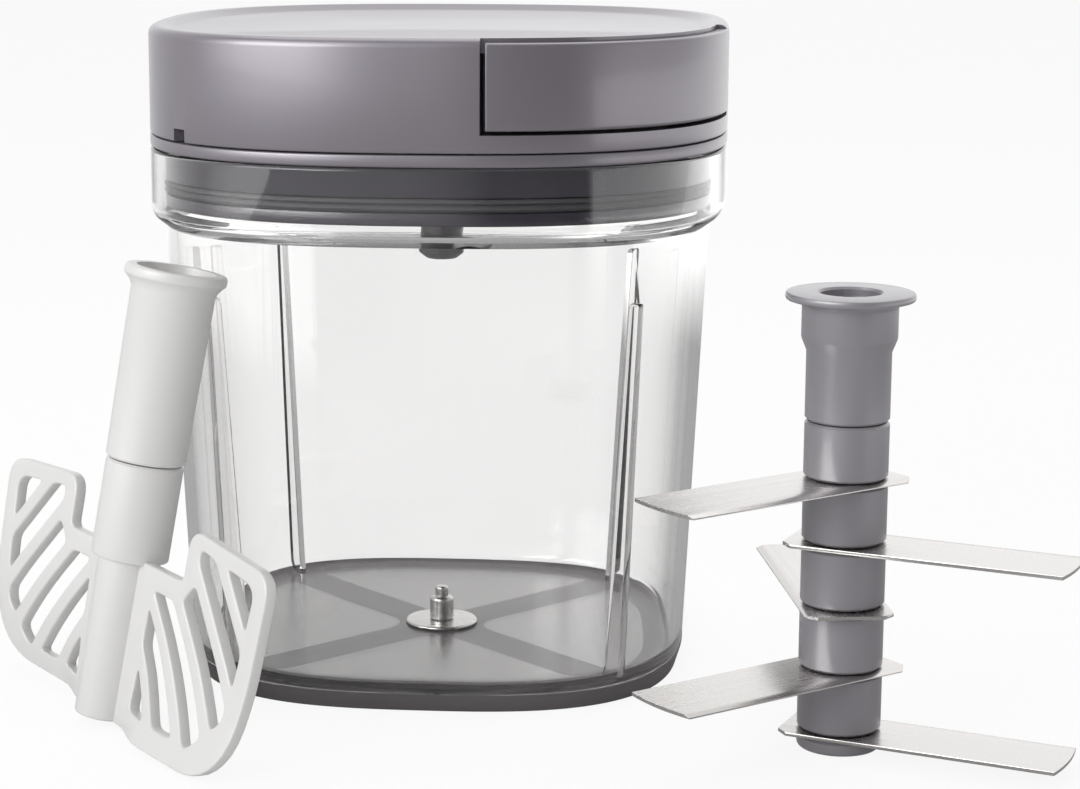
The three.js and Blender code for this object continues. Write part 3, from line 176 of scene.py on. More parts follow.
def tone_ramp(tree, tones):
    ramp = tree.nodes.new("ShaderNodeValToRGB")
    stops = ramp.color_ramp.elements
    stops.remove(stops[1])
    for index, (degrees, tone) in enumerate(tones):
        position = degrees / 360 + 0.5
        stop = stops[index] if index < 1 else stops.new(position)
        stop.position = position
        stop.color = (tone / BRIGHTEST, tone / BRIGHTEST, tone / BRIGHTEST, 1)
    return ramp


def tone_towards(tree, direction, tones):
    split = tree.nodes.new("ShaderNodeSeparateXYZ")
    link(tree, direction, split.inputs["Vector"])
    forwards = reckon(tree, "MULTIPLY", split.outputs["Y"], -1)
    angle = reckon(tree, "ARCTAN2", split.outputs["X"], forwards)
    turn = reckon(tree, "MULTIPLY", angle, 1 / math.tau)
    ramp = tone_ramp(tree, tones)
    link(tree, reckon(tree, "ADD", turn, 0.5), ramp.inputs["Fac"])
    return reckon(tree, "MULTIPLY", ramp.outputs["Color"], BRIGHTEST)


print("directions with a tone:", len(BENCH_TONES), "on the bench,", len(WALL_TONES), "on the walls")

# %% Room tone
WHITE = 1.0
NEAR_TONE = 0.35
NEAR_REACH, FAR_REACH = 0.4, 0.7


def level_reach(tree, direction):
    level = tree.nodes.new("ShaderNodeVectorMath")
    level.operation = "MULTIPLY"
    level.inputs[1].default_value = (1, 1, 0)
    link(tree, direction, level.inputs[0])
    reach = tree.nodes.new("ShaderNodeVectorMath")
    reach.operation = "LENGTH"
    link(tree, level.outputs["Vector"], reach.inputs[0])
    return reach.outputs["Value"]


def ray_kinds(tree):
    path = tree.nodes.new("ShaderNodeLightPath")
    bounced = reckon(tree, "MINIMUM", path.outputs["Is Transmission Ray"], path.outputs["Glossy Depth"])
    mirrored = reckon(tree, "MAXIMUM", path.outputs["Is Reflection Ray"], bounced)
    straight = reckon(tree, "MAXIMUM", path.outputs["Is Camera Ray"], path.outputs["Is Transmission Ray"])
    seen = reckon(tree, "MAXIMUM", straight, path.outputs["Is Glossy Ray"])
    return mirrored, seen


def room_tone(tree, direction, tones):
    far = tree.nodes.new("ShaderNodeMapRange")
    far.inputs["From Min"].default_value = NEAR_REACH
    far.inputs["From Max"].default_value = FAR_REACH
    link(tree, level_reach(tree, direction), far.inputs["Value"])
    tone = between(tree, far.outputs["Result"], NEAR_TONE, tone_towards(tree, direction, tones))
    mirrored, seen = ray_kinds(tree)
    return between(tree, mirrored, WHITE, tone), seen


print("mirrored tone close to the object:", NEAR_TONE)

# %% [markdown]
# ## World
# The world carries the walls' tones for mirrored rays, white for straight ones and an even light for the
# rest. A picture of a real room could do the same, but it couldn't be set wall by wall.

# %% World
AMBIENT = 0.52


def add_world():
    world = bpy.data.worlds.new("studio")
    world.use_nodes = True
    tree = world.node_tree
    tree.nodes.clear()
    place = tree.nodes.new("ShaderNodeTexCoord")
    tone, seen = room_tone(tree, place.outputs["Generated"], WALL_TONES)
    light = tree.nodes.new("ShaderNodeBackground")
    link(tree, between(tree, seen, AMBIENT, tone), light.inputs["Strength"])
    light.inputs["Color"].default_value = (1, 1, 1, 1)
    output = tree.nodes.new("ShaderNodeOutputWorld")
    link(tree, light.outputs["Background"], output.inputs["Surface"])
    bpy.context.scene.world = world


add_world()
print("even light from the world:", AMBIENT)

# %% [markdown]
# ## Floor
# The floor is a large pale plane just under the pad. Seen straight it is nearly all plain white, with a
# tenth of its real shading left, so that the pieces keep a faint shadow and don't seem to float. Mirrored,
# it has the bench's tones.

# %% Floor
FLOOR_WHITE = 0.90
FLOOR_SHADE = 0.10
FLOOR_SIZE = 8
FLOOR_BACK = 2
FLOOR_DROP = 0.0002


def floor_material():
    made = bpy.data.materials.new("floor_white")
    made.use_nodes = True
    tree = made.node_tree
    tree.nodes.clear()
    shaded = tree.nodes.new("ShaderNodeBsdfDiffuse")
    shaded.inputs["Color"].default_value = (FLOOR_WHITE, FLOOR_WHITE, FLOOR_WHITE, 1)
    place = tree.nodes.new("ShaderNodeTexCoord")
    tone, seen = room_tone(tree, place.outputs["Object"], BENCH_TONES)
    glow = tree.nodes.new("ShaderNodeEmission")
    link(tree, tone, glow.inputs["Strength"])
    mix = tree.nodes.new("ShaderNodeMixShader")
    link(tree, reckon(tree, "MULTIPLY", seen, 1 - FLOOR_SHADE), mix.inputs["Fac"])
    link(tree, shaded.outputs["BSDF"], mix.inputs[1])
    link(tree, glow.outputs["Emission"], mix.inputs[2])
    output = tree.nodes.new("ShaderNodeOutputMaterial")
    link(tree, mix.outputs["Shader"], output.inputs["Surface"])
    return made


def add_floor():
    bpy.ops.object.select_all(action="DESELECT")
    bpy.ops.mesh.primitive_plane_add(size=FLOOR_SIZE)
    floor = bpy.context.object
    floor.name = "floor"
    floor.data.transform(Matrix.Translation((0, FLOOR_BACK, -FLOOR_DROP)))
    floor.data.materials.append(floor_material())


add_floor()
print("floor:", FLOOR_SIZE, "m across")

# %% [markdown]
# ## Finishes
# Every moulding here has a fine satin grain, so one recipe serves them: a colour that drifts slightly, a
# roughness that drifts with it and a shallow grain in the bump. Only the numbers differ. The lid's grey has
# a metallic share and a thin clear coat, because it mirrors the lamps softly and the room sharply. Colours
# are written as they look and turned into the linear values that a shader wants.

# %% Colour and noise
def linear(red, green, blue):
    def one(value):
        return value / 12.92 if value <= 0.04045 else ((value + 0.055) / 1.055) ** 2.4

    return (one(red), one(green), one(blue), 1)


def new_material(name):
    made = bpy.data.materials.new(name)
    made.use_nodes = True
    tree = made.node_tree
    shader = tree.nodes["Principled BSDF"]
    return made, tree, shader


def noise(tree, scale, detail=2.0):
    place = tree.nodes.new("ShaderNodeTexCoord")
    texture = tree.nodes.new("ShaderNodeTexNoise")
    texture.inputs["Scale"].default_value = scale
    texture.inputs["Detail"].default_value = detail
    link(tree, place.outputs["Object"], texture.inputs["Vector"])
    return texture.outputs["Fac"]


def spread(tree, source, low, high):
    span = tree.nodes.new("ShaderNodeMapRange")
    span.inputs["To Min"].default_value = low
    span.inputs["To Max"].default_value = high
    link(tree, source, span.inputs["Value"])
    return span.outputs["Result"]


print("a mid grey in linear values:", round(linear(0.5, 0.5, 0.5)[0], 3))

# %% Bump and colour
def add_bump(tree, shader, height, strength, depth):
    bump = tree.nodes.new("ShaderNodeBump")
    bump.inputs["Strength"].default_value = strength
    bump.inputs["Distance"].default_value = depth
    link(tree, height, bump.inputs["Height"])
    link(tree, bump.outputs["Normal"], shader.inputs["Normal"])


def mix_colours(tree, shader, share, dark, light):
    shade = tree.nodes.new("ShaderNodeMixRGB")
    shade.inputs["Color1"].default_value = dark
    shade.inputs["Color2"].default_value = light
    link(tree, share, shade.inputs["Fac"])
    link(tree, shade.outputs["Color"], shader.inputs["Base Color"])


print("recipe parts: noise, spread, bump and colour")

# %% Moulded plastic and rubber
DRIFT_SCALE = 28.0
ROUGHNESS_DRIFT = 0.05
GRAIN_SIZE = 0.0007
GRAIN_DETAIL = 3.0
GRAIN_DEPTH = 0.0002
COAT_ROUGHNESS = 0.08


def times(colour, factor):
    return tuple(min(1, c * factor) for c in linear(*colour)[:3]) + (1,)


def moulded(name, colour, roughness, grain=0.06, drift=0.05, metallic=0.0, coat=0.0):
    made, tree, shader = new_material(name)
    broad = noise(tree, DRIFT_SCALE)
    mix_colours(tree, shader, broad, times(colour, 1 - drift), times(colour, 1 + drift))
    rough = spread(tree, broad, roughness - ROUGHNESS_DRIFT, roughness + ROUGHNESS_DRIFT)
    link(tree, rough, shader.inputs["Roughness"])
    add_bump(tree, shader, noise(tree, 1 / GRAIN_SIZE, GRAIN_DETAIL), grain, GRAIN_DEPTH)
    shader.inputs["Metallic"].default_value = metallic
    shader.inputs["Coat Weight"].default_value = coat
    shader.inputs["Coat Roughness"].default_value = COAT_ROUGHNESS
    return made


LID_GREY = moulded("lid_grey", (0.500, 0.482, 0.510), 0.34, grain=0.04, metallic=0.40, coat=0.32)
# This darker grey is painted shade on the tray's skirt inside the collar; the hidden handle plate has it as
# its own colour.
DARK_GREY_AND_SKIRT_SHADE = moulded("skirt_grey", (0.165, 0.150, 0.190), 0.30, grain=0.01, coat=0.6)
HEAD_GREY = moulded("head_grey", (0.375, 0.365, 0.375), 0.36, grain=0.04, metallic=0.2)
SEAL_RUBBER = moulded("seal_rubber", (0.24, 0.235, 0.25), 0.62, grain=0.10)
PAD_RUBBER = moulded("pad_rubber", (0.364, 0.348, 0.354), 0.60, grain=0.12, drift=0.10)
CUTTER_GREY = moulded("cutter_grey", (0.555, 0.545, 0.565), 0.34, grain=0.05, metallic=0.2, coat=0.3)
PADDLE_WHITE = moulded("paddle_white", (0.845, 0.843, 0.837), 0.33, grain=0.04, drift=0.02, coat=0.1)
INNER_WHITE = moulded("inner_white", (0.847, 0.847, 0.831), 0.45, grain=0.05, drift=0.03)
BLACK_PLASTIC = moulded("black_plastic", (0.173, 0.173, 0.18), 0.5)
print("moulded finishes: 9")

# %% [markdown]
# ## Clear plastic
# The bowl is a thick clear moulding, polished inside and out, but for the inside of its floor, which looks
# dull in the photograph. The shader is plain transmission at the index of such plastic. Glass in a path
# tracer throws a nearly black shadow, because its bent light is hard to find, so for shadow rays alone the
# material lets the lamps straight through.

# %% Clear plastic
CLEAR_TINT = (0.974, 0.970, 0.968, 1)
CLEAR_IOR = 1.49
POLISHED, FROSTED = 0.015, 0.24


def clear_plastic(name, roughness):
    made, tree, shader = new_material(name)
    shader.inputs["Base Color"].default_value = CLEAR_TINT
    shader.inputs["Transmission Weight"].default_value = 1.0
    shader.inputs["Roughness"].default_value = roughness
    shader.inputs["IOR"].default_value = CLEAR_IOR
    through = tree.nodes.new("ShaderNodeBsdfTransparent")
    path = tree.nodes.new("ShaderNodeLightPath")
    mix = tree.nodes.new("ShaderNodeMixShader")
    link(tree, path.outputs["Is Shadow Ray"], mix.inputs["Fac"])
    link(tree, shader.outputs["BSDF"], mix.inputs[1])
    link(tree, through.outputs["BSDF"], mix.inputs[2])
    link(tree, mix.outputs["Shader"], tree.nodes["Material Output"].inputs["Surface"])
    return made


CLEAR = clear_plastic("clear_plastic", POLISHED)
CLEAR_FLOOR = clear_plastic("clear_floor", FROSTED)
print("clear finishes: 2")

# %% [markdown]
# ## Steel
# The blades are ground and polished sheet, so fine scratches run along their length and stretch the
# highlights. The pin, the screws and the springs are turned or drawn, and their marks are a little
# stronger. A noise squeezed in one direction makes the marks, because it needs no picture of real steel and
# never repeats.

# %% Steel recipe
SCRATCH_SQUEEZE = (8.0, 900.0, 900.0)
SCRATCH_DETAIL = 3.0
SCRATCH_DEPTH = 0.0001
SMOOTHER, ROUGHER = 0.7, 1.4


def steel(name, colour, roughness, scratch=0.05):
    made, tree, shader = new_material(name)
    shader.inputs["Base Color"].default_value = linear(*colour)
    shader.inputs["Metallic"].default_value = 1.0
    place = tree.nodes.new("ShaderNodeTexCoord")
    squeeze = tree.nodes.new("ShaderNodeMapping")
    squeeze.inputs["Scale"].default_value = SCRATCH_SQUEEZE
    texture = tree.nodes.new("ShaderNodeTexNoise")
    texture.inputs["Scale"].default_value = 1.0
    texture.inputs["Detail"].default_value = SCRATCH_DETAIL
    link(tree, place.outputs["Object"], squeeze.inputs["Vector"])
    link(tree, squeeze.outputs["Vector"], texture.inputs["Vector"])
    rough = spread(tree, texture.outputs["Fac"], roughness * SMOOTHER, roughness * ROUGHER)
    link(tree, rough, shader.inputs["Roughness"])
    add_bump(tree, shader, texture.outputs["Fac"], scratch, SCRATCH_DEPTH)
    return made


PIN_STEEL = steel("pin_steel", (0.76, 0.755, 0.75), 0.24)
SPRING_STEEL = steel("spring_steel", (0.553, 0.565, 0.588), 0.32)
print("steel finishes: 2")

# %% [markdown]
# ## Modelling helpers
# Most pieces are turned or follow the lid's rounded square. Both start as a circle that is extruded and
# resized ring by ring through a profile, just as it is done by hand. The rounded square then comes from
# pushing each ring out to its plan, whose exponent says how square it is: 2 is a circle. Sizes are in
# millimetres, and MM turns them into the metres that Blender works in.

# %% Selecting, combining and finishing
MM = 0.001
SAME_PLACE = 0.002 * MM


def only(piece):
    bpy.ops.object.select_all(action="DESELECT")
    piece.select_set(True)
    bpy.context.view_layer.objects.active = piece


def combine(piece, tool, operation):
    modifier = piece.modifiers.new("combine", "BOOLEAN")
    modifier.operation = operation
    modifier.solver = "EXACT"
    modifier.object = tool
    only(piece)
    bpy.ops.object.modifier_apply(modifier=modifier.name)
    bpy.data.objects.remove(tool)
    return piece


def soften(piece, width, segments=2, angle=35):
    modifier = piece.modifiers.new("soften", "BEVEL")
    modifier.width = width * MM
    modifier.segments = segments
    modifier.limit_method = "ANGLE"
    modifier.angle_limit = math.radians(angle)
    only(piece)
    bpy.ops.object.modifier_apply(modifier=modifier.name)
    return piece


def finish(piece, body, slot, material, *replaced, smooth=32):
    only(piece)
    bpy.ops.object.transform_apply(location=True, rotation=True, scale=True)
    bpy.ops.object.mode_set(mode="EDIT")
    bpy.ops.mesh.select_all(action="SELECT")
    bpy.ops.mesh.remove_doubles(threshold=SAME_PLACE)
    bpy.ops.mesh.normals_make_consistent(inside=False)
    bpy.ops.object.mode_set(mode="OBJECT")
    bpy.ops.object.shade_smooth_by_angle(angle=math.radians(smooth))
    piece.data.materials.clear()
    piece.data.materials.append(material)
    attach(piece, body)
    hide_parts(*replaced)
    return piece


print("corners count as one below", SAME_PLACE / MM, "mm")

# %% Turning a profile
TURNED_SEGMENTS = 64
SQUARE_SEGMENTS = 192


def ring_stack(name, profile, segments, filled):
    radius, height = profile[0]
    bpy.ops.object.select_all(action="DESELECT")
    bpy.ops.mesh.primitive_circle_add(
        vertices=segments, radius=radius * MM, location=(0, 0, height * MM),
        fill_type="NGON" if filled else "NOTHING")
    piece = bpy.context.object
    piece.name = name
    bpy.ops.object.transform_apply(location=True, rotation=True, scale=True)
    bpy.ops.object.mode_set(mode="EDIT")
    bpy.ops.mesh.select_all(action="SELECT")
    for next_radius, next_height in profile[1:]:
        rise = (next_height - height) * MM
        bpy.ops.mesh.extrude_region_move(TRANSFORM_OT_translate={"value": (0, 0, rise)})
        growth = next_radius / radius
        bpy.ops.transform.resize(value=(growth, growth, 1), center_override=(0, 0, next_height * MM))
        radius, height = next_radius, next_height
    return piece


def turned(name, profile, segments=TURNED_SEGMENTS):
    piece = ring_stack(name, profile, segments, True)
    bpy.ops.object.mode_set(mode="OBJECT")
    return piece


def cylinder(name, radius, low, high, segments=TURNED_SEGMENTS):
    return turned(name, [(radius, low), (radius, high)], segments)


def turned_ring(name, profile, segments=TURNED_SEGMENTS):
    piece = ring_stack(name, profile, segments, False)
    bpy.ops.mesh.select_all(action="DESELECT")
    bpy.ops.mesh.select_non_manifold(
        use_wire=False, use_multi_face=False, use_non_contiguous=False, use_verts=False)
    bpy.ops.mesh.bridge_edge_loops()
    bpy.ops.object.mode_set(mode="OBJECT")
    return piece


def arc(centre, radius, start, end, steps=6):
    angles = [math.radians(start + (end - start) * i / steps) for i in range(steps + 1)]
    return [(centre[0] + radius * math.cos(a), centre[1] + radius * math.sin(a)) for a in angles]


print("sides of a turned piece:", TURNED_SEGMENTS, "and of a squared one:", SQUARE_SEGMENTS)

# %% The rounded square
LID_EXPONENT = 2.6
BOWL_EXPONENT = 2.87


def plan_reach(angle, exponent):
    return (abs(math.cos(angle)) ** exponent + abs(math.sin(angle)) ** exponent) ** (-1 / exponent)


def squared(piece, exponent_at=lambda height: LID_EXPONENT):
    for vertex in piece.data.vertices:
        reach = plan_reach(math.atan2(vertex.co.y, vertex.co.x), exponent_at(vertex.co.z / MM))
        vertex.co.x *= reach
        vertex.co.y *= reach
    return piece


print("reach of the lid's corner:", round(plan_reach(math.pi / 4, LID_EXPONENT), 3))

# %% Flat plates
def plate(name, outline, low, high):
    bpy.ops.object.select_all(action="DESELECT")
    bpy.ops.mesh.primitive_circle_add(vertices=len(outline), fill_type="NGON")
    piece = bpy.context.object
    piece.name = name
    for vertex, (x, y) in zip(piece.data.vertices, outline):
        vertex.co = (x * MM, y * MM, low * MM)
    bpy.ops.object.mode_set(mode="EDIT")
    bpy.ops.mesh.select_all(action="SELECT")
    bpy.ops.mesh.extrude_region_move(TRANSFORM_OT_translate={"value": (0, 0, (high - low) * MM)})
    bpy.ops.mesh.select_all(action="SELECT")
    bpy.ops.mesh.normals_make_consistent(inside=False)
    bpy.ops.object.mode_set(mode="OBJECT")
    return piece


def turn_to(piece, matrix):
    piece.matrix_world = matrix @ piece.matrix_world
    only(piece)
    bpy.ops.object.transform_apply(location=True, rotation=True, scale=True)
    return piece


print("modelling helpers are ready")

# %% [markdown]
# ## Bowl
# The bowl is one clear moulding. Its wall leans outwards, flares at a shoulder and ends in a straight
# collar, which is rounder in plan than the body because it matches the lid. A single skin would look
# hollow, so one closed profile gives both faces of the wall, and its real thickness bends the light.

# %% Bowl sizes
bowl_low, bowl_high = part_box("bowl")
COLLAR_HALF = bowl_high.x / MM
BOWL_UNDER = bowl_low.z / MM
COLLAR_TOP = bowl_high.z / MM
BOWL_WALL = 2.4
BOWL_FLOOR = 2.0
COLLAR_STEP = 3.8
WALL_LEAN = 4.7
SHOULDER = 106.0
SHOULDER_RISE = 4.6
LEDGE_RISE = 2.4
FOOT_FILLET = 3.0
FLOOR_FILLET = 3.5
PIN_HOLE = 2.0
FLOOR_TOP = BOWL_UNDER + BOWL_FLOOR
MOUTH_HALF = COLLAR_HALF - COLLAR_STEP
FOOT_HALF = MOUTH_HALF - WALL_LEAN
COLLAR_INNER = COLLAR_HALF - BOWL_WALL
COLLAR_LOW = SHOULDER + SHOULDER_RISE
LEDGE = SHOULDER + LEDGE_RISE


def wall_half(height):
    share = (height - BOWL_UNDER - FOOT_FILLET) / (SHOULDER - BOWL_UNDER - FOOT_FILLET)
    return FOOT_HALF + (MOUTH_HALF - FOOT_HALF) * min(1, max(0, share))


def bowl_exponent(height):
    share = min(1, max(0, (height - SHOULDER) / SHOULDER_RISE))
    return BOWL_EXPONENT + (LID_EXPONENT - BOWL_EXPONENT) * share


print("half the bowl's width at foot and mouth:", round(FOOT_HALF, 1), round(MOUTH_HALF, 1), "mm")

# %% Bowl shell
WALL_STATIONS = (40.0, 75.0, SHOULDER - 0.4)
RIM_ROUND = 0.7
INNER_RIM_ROUND = 0.5
LEDGE_EDGE = 0.2


def bowl_shell():
    inner_foot = FOOT_HALF - BOWL_WALL
    profile = [(PIN_HOLE, BOWL_UNDER)]
    profile += arc((FOOT_HALF - FOOT_FILLET, BOWL_UNDER + FOOT_FILLET), FOOT_FILLET, -90, 0)
    profile += [(wall_half(h), h) for h in WALL_STATIONS]
    profile += arc((COLLAR_HALF - SHOULDER_RISE, COLLAR_LOW), SHOULDER_RISE, -42, 0)
    profile += arc((COLLAR_HALF - RIM_ROUND, COLLAR_TOP - RIM_ROUND), RIM_ROUND, 0, 90, 3)
    inner_rim = (COLLAR_INNER + INNER_RIM_ROUND, COLLAR_TOP - INNER_RIM_ROUND)
    profile += arc(inner_rim, INNER_RIM_ROUND, 90, 180, 3)
    profile += [(COLLAR_INNER, LEDGE + LEDGE_EDGE), (MOUTH_HALF - BOWL_WALL + LEDGE_EDGE, LEDGE)]
    profile += [(wall_half(h) - BOWL_WALL, h) for h in reversed(WALL_STATIONS)]
    profile += arc((inner_foot - FLOOR_FILLET, FLOOR_TOP + FLOOR_FILLET), FLOOR_FILLET, 0, -90)
    profile += [(PIN_HOLE, FLOOR_TOP)]
    return squared(turned_ring("clear_bowl", profile, SQUARE_SEGMENTS), bowl_exponent)


bowl = bowl_shell()
print("bowl shell faces:", len(bowl.data.polygons))

# %% [markdown]
# ## Corner fins
# Four thin fins stand in the bowl's corners and keep the food from running round with the blades. Each is a
# plate with round edges. A boolean joins it to the wall, since two clear solids that overlap would show a
# seam inside. Smooth shading bends a long flat wall's normals towards its round edges, and clear plastic
# then mirrors the room in smears, so the bowl's normals are weighted by the area of the faces.

# %% Corner fins
FIN_TOP = 91.8
FIN_TOP_DEPTH = 3.0
FIN_FOOT_DEPTH = 5.0
FIN_THICKNESS = 1.9
FIN_CORNER = 1.4
FIN_ROUND = 0.7
FACES_UP = 0.7


def corner_fin(turn):
    low = FLOOR_TOP - BOWL_FLOOR / 2
    corner = 2 ** (0.5 - 1 / BOWL_EXPONENT)
    wall_low = (wall_half(low) - BOWL_WALL) * corner
    wall_high = (wall_half(FIN_TOP) - BOWL_WALL) * corner
    buried = BOWL_WALL / 2
    outline = [(wall_low - FIN_FOOT_DEPTH, low), (wall_low + buried, low), (wall_high + buried, FIN_TOP)]
    corner_middle = (wall_high - FIN_TOP_DEPTH + FIN_CORNER, FIN_TOP - FIN_CORNER)
    outline += arc(corner_middle, FIN_CORNER, 90, 180, 5)
    fin = plate("fin", outline, -FIN_THICKNESS / 2, FIN_THICKNESS / 2)
    soften(fin, FIN_ROUND, 4)
    return turn_to(fin, Matrix.Rotation(turn, 4, "Z") @ Matrix.Rotation(math.pi / 2, 4, "X"))


def even_normals(piece):
    modifier = piece.modifiers.new("even", "WEIGHTED_NORMAL")
    modifier.keep_sharp = True
    only(piece)
    bpy.ops.object.modifier_apply(modifier=modifier.name)
    return piece


for corner_count in range(4):
    combine(bowl, corner_fin(math.pi / 4 + corner_count * math.pi / 2), "UNION")
finish(bowl, "base", "clear_plastic", CLEAR, "bowl")
even_normals(bowl)
bowl.data.materials.append(CLEAR_FLOOR)
for face in bowl.data.polygons:
    face.material_index = int(face.normal.z > FACES_UP and face.center.z < (FLOOR_TOP + 1) * MM)
print("bowl with fins, faces:", len(bowl.data.polygons))

# %% [markdown]
# ## Pin
# The pin stands on a thin steel disc in the middle of the floor and centres whichever tool is in the bowl.
# Its foot is riveted over under the floor and its tip is necked and rounded. It is turned in one piece, as
# on the real object, and the disc is a ring round it, so that the two don't run through each other.

# %% Centre pin
PIN_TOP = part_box("centre_pin")[1].z / MM
DISC_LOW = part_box("pin_washer")[0].z / MM
DISC_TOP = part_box("pin_washer")[1].z / MM
PIN_RADIUS = 2.9
NECK_RADIUS = 1.6
SHANK_RADIUS = 1.7
RIVET_RADIUS = 3.6
RIVET_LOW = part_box("centre_pin")[0].z / MM
RIVET_HIGH = RIVET_LOW + 0.7
NECK_Z = PIN_TOP - 3.0
COLLAR_ROUND = 0.9
TIP_ROUND = 0.6


def steel_pin():
    profile = [(RIVET_RADIUS - 0.5, RIVET_LOW), (RIVET_RADIUS, RIVET_HIGH), (SHANK_RADIUS, RIVET_HIGH + 0.02)]
    profile += [(SHANK_RADIUS, DISC_TOP + 0.3), (PIN_RADIUS, DISC_TOP + 0.32)]
    profile += arc((PIN_RADIUS - COLLAR_ROUND, NECK_Z - 0.4), COLLAR_ROUND, 0, 60, 4)
    profile += [(NECK_RADIUS, NECK_Z + 0.6)]
    profile += arc((NECK_RADIUS - TIP_ROUND, PIN_TOP - TIP_ROUND), TIP_ROUND, 0, 80, 4)
    return turned("steel_pin", profile, 40)


finish(steel_pin(), "base", "pin_steel", PIN_STEEL, "centre_pin")
print("top of the pin above the table:", round(PIN_TOP, 1), "mm")

# %% Pin disc
DISC_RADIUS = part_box("pin_washer")[1].x / MM
DISC_HOLE = SHANK_RADIUS + 0.3
DISC_ROUND = 0.45


def pin_disc():
    profile = [(DISC_HOLE, DISC_LOW), (DISC_RADIUS - 0.15, DISC_LOW)]
    profile += arc((DISC_RADIUS - DISC_ROUND, DISC_TOP - DISC_ROUND), DISC_ROUND, 0, 90, 4)
    profile += [(DISC_HOLE, DISC_TOP)]
    return turned_ring("pin_disc", profile)


finish(pin_disc(), "base", "pin_steel", PIN_STEEL, "pin_washer")
print("disc across:", round(2 * DISC_RADIUS, 1), "mm")

# %% [markdown]
# ## Pad
# The pad is a soft rubber plate whose lip wraps the edge of the bowl's foot. Its cross and its ring press
# against the clear floor without any air between, so they stand up to the bowl's underside and show dark.
# The four petals between them lie lower, and the air above them makes the floor a weak mirror, so they look
# lighter. The petals are cut from the plate, because their rims then follow the foot's rounded square
# exactly.

# %% Rubber pad
PAD_THICKNESS = BOWL_UNDER + 0.05
PAD_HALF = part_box("base_pad")[1].x / MM
PAD_SPOKE = 11
PAD_RIM = 7.5
PETAL_DEPTH = 0.8
PETAL_ROUND = 6.5
PAD_LIP = 0.3
PAD_LIP_END = -22
RIVET_ROOM = 3.9
RIVET_ROOM_DEPTH = 1.3


def petal_outline(turn):
    apex = PAD_SPOKE / math.sqrt(2)
    reach = PAD_HALF - PAD_RIM
    outline = arc((apex + PETAL_ROUND * math.sqrt(2), 0), PETAL_ROUND, 135, 225, 10)
    widest = math.pi / 4 - math.asin(apex / (reach * 2 ** (1 - 1 / BOWL_EXPONENT)))
    for i in range(21):
        angle = widest * (i / 10 - 1)
        radius = reach * plan_reach(angle, BOWL_EXPONENT)
        outline.append((radius * math.cos(angle), radius * math.sin(angle)))
    cos, sin = math.cos(turn), math.sin(turn)
    return [(x * cos - y * sin, x * sin + y * cos) for x, y in outline]


fillet_middle = (FOOT_HALF - FOOT_FILLET, BOWL_UNDER + FOOT_FILLET)
pad_profile = [(PAD_HALF - 0.6, 0.0)]
pad_profile += arc((PAD_HALF - 0.5, 0.5), 0.5, -90, 0, 3)
pad_profile += arc(fillet_middle, FOOT_FILLET + PAD_LIP, PAD_LIP_END, -90)[:1]
pad_profile += arc(fillet_middle, FOOT_FILLET - 0.05, PAD_LIP_END - 3, -90, 6)
pad = squared(turned("rubber_pad", pad_profile, SQUARE_SEGMENTS), lambda height: BOWL_EXPONENT)
for petal in range(4):
    outline = petal_outline(petal * math.pi / 2)
    combine(pad, plate("petal", outline, PAD_THICKNESS - PETAL_DEPTH, PAD_THICKNESS + 1), "DIFFERENCE")
rivet_room = cylinder("rivet_room", RIVET_ROOM, PAD_THICKNESS - RIVET_ROOM_DEPTH, PAD_THICKNESS + 1, 32)
combine(pad, rivet_room, "DIFFERENCE")
soften(pad, 0.22, 2, 50)
finish(pad, "base", "pad_rubber", PAD_RUBBER, "base_pad")
print("pad faces:", len(pad.data.polygons))

# %% [markdown]
# ## Lid
# The lid is two mouldings screwed together: the deep cover with its dished top, and the tray below it,
# whose rim shows as a thin line and whose darker skirt drops into the collar. Both follow the same rounded
# square and the same screws, so their common sizes and the cutting tools for rings, corners and screw holes
# come first.

# %% Lid sizes
LID_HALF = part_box("lid_tray")[1].x / MM
TRAY_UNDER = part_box("lid_tray")[0].z / MM
COVER_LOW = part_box("top_cover")[0].z / MM
COVER_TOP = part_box("top_cover")[1].z / MM
FLANGE_TOP = COVER_LOW - 0.3
FLANGE_LOW = COLLAR_TOP + 0.3
COVER_WALL = 2.4
COVER_FILLET = 2.0
ROOF = 2.0
DISH_Z = COVER_TOP - 1.2
DISH_RIM = 4.2
DISH_SLOPE = 2.5
ROOF_UNDER = DISH_Z - ROOF
HANDLE_START = 13.9
RECESS_HALF = LID_HALF - 11
RECESS_WALL = 2.0
RECESS_FLOOR = COVER_LOW + 3.9
HANDLE_PROUD = 0.4
HANDLE_SKIN = 2.7
GAP = 0.3
SCREW_ANGLES = (45, 135, 225, -78, -12)
SCREW_CIRCLE = LID_HALF - 17
CORNER = 2 ** (0.5 - 1 / LID_EXPONENT)
CORD_Z = (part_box("handle_shell")[0].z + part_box("handle_shell")[1].z) / 2 / MM
print("half the lid's width:", round(LID_HALF, 1), "mm")

# %% Cutting tools of the lid
def corner_block(start, low, high):
    far = LID_HALF + 8
    return plate("corner", [(start, -far), (far, -far), (far, -start), (start, -start)], low, high)


def squared_ring(name, inner, outer, low, high):
    profile = [(inner, low), (outer, low), (outer, high), (inner, high)]
    return squared(turned_ring(name, profile, SQUARE_SEGMENTS))


def at_screws(name, radius, low, high, segments=24):
    columns = []
    for angle in SCREW_ANGLES:
        column = cylinder(name, radius, low, high, segments)
        turn = math.radians(angle)
        place = (SCREW_CIRCLE * MM * math.cos(turn), SCREW_CIRCLE * MM * math.sin(turn), 0)
        columns.append(turn_to(column, Matrix.Translation(place)))
    return columns


def along_pull(piece):
    laid = Matrix.Rotation(-math.pi / 4, 4, "Z") @ Matrix.Rotation(math.pi / 2, 4, "Y")
    return turn_to(piece, Matrix.Translation((0, 0, CORD_Z * MM)) @ laid)


print("screw holes of the lid:", len(SCREW_ANGLES))

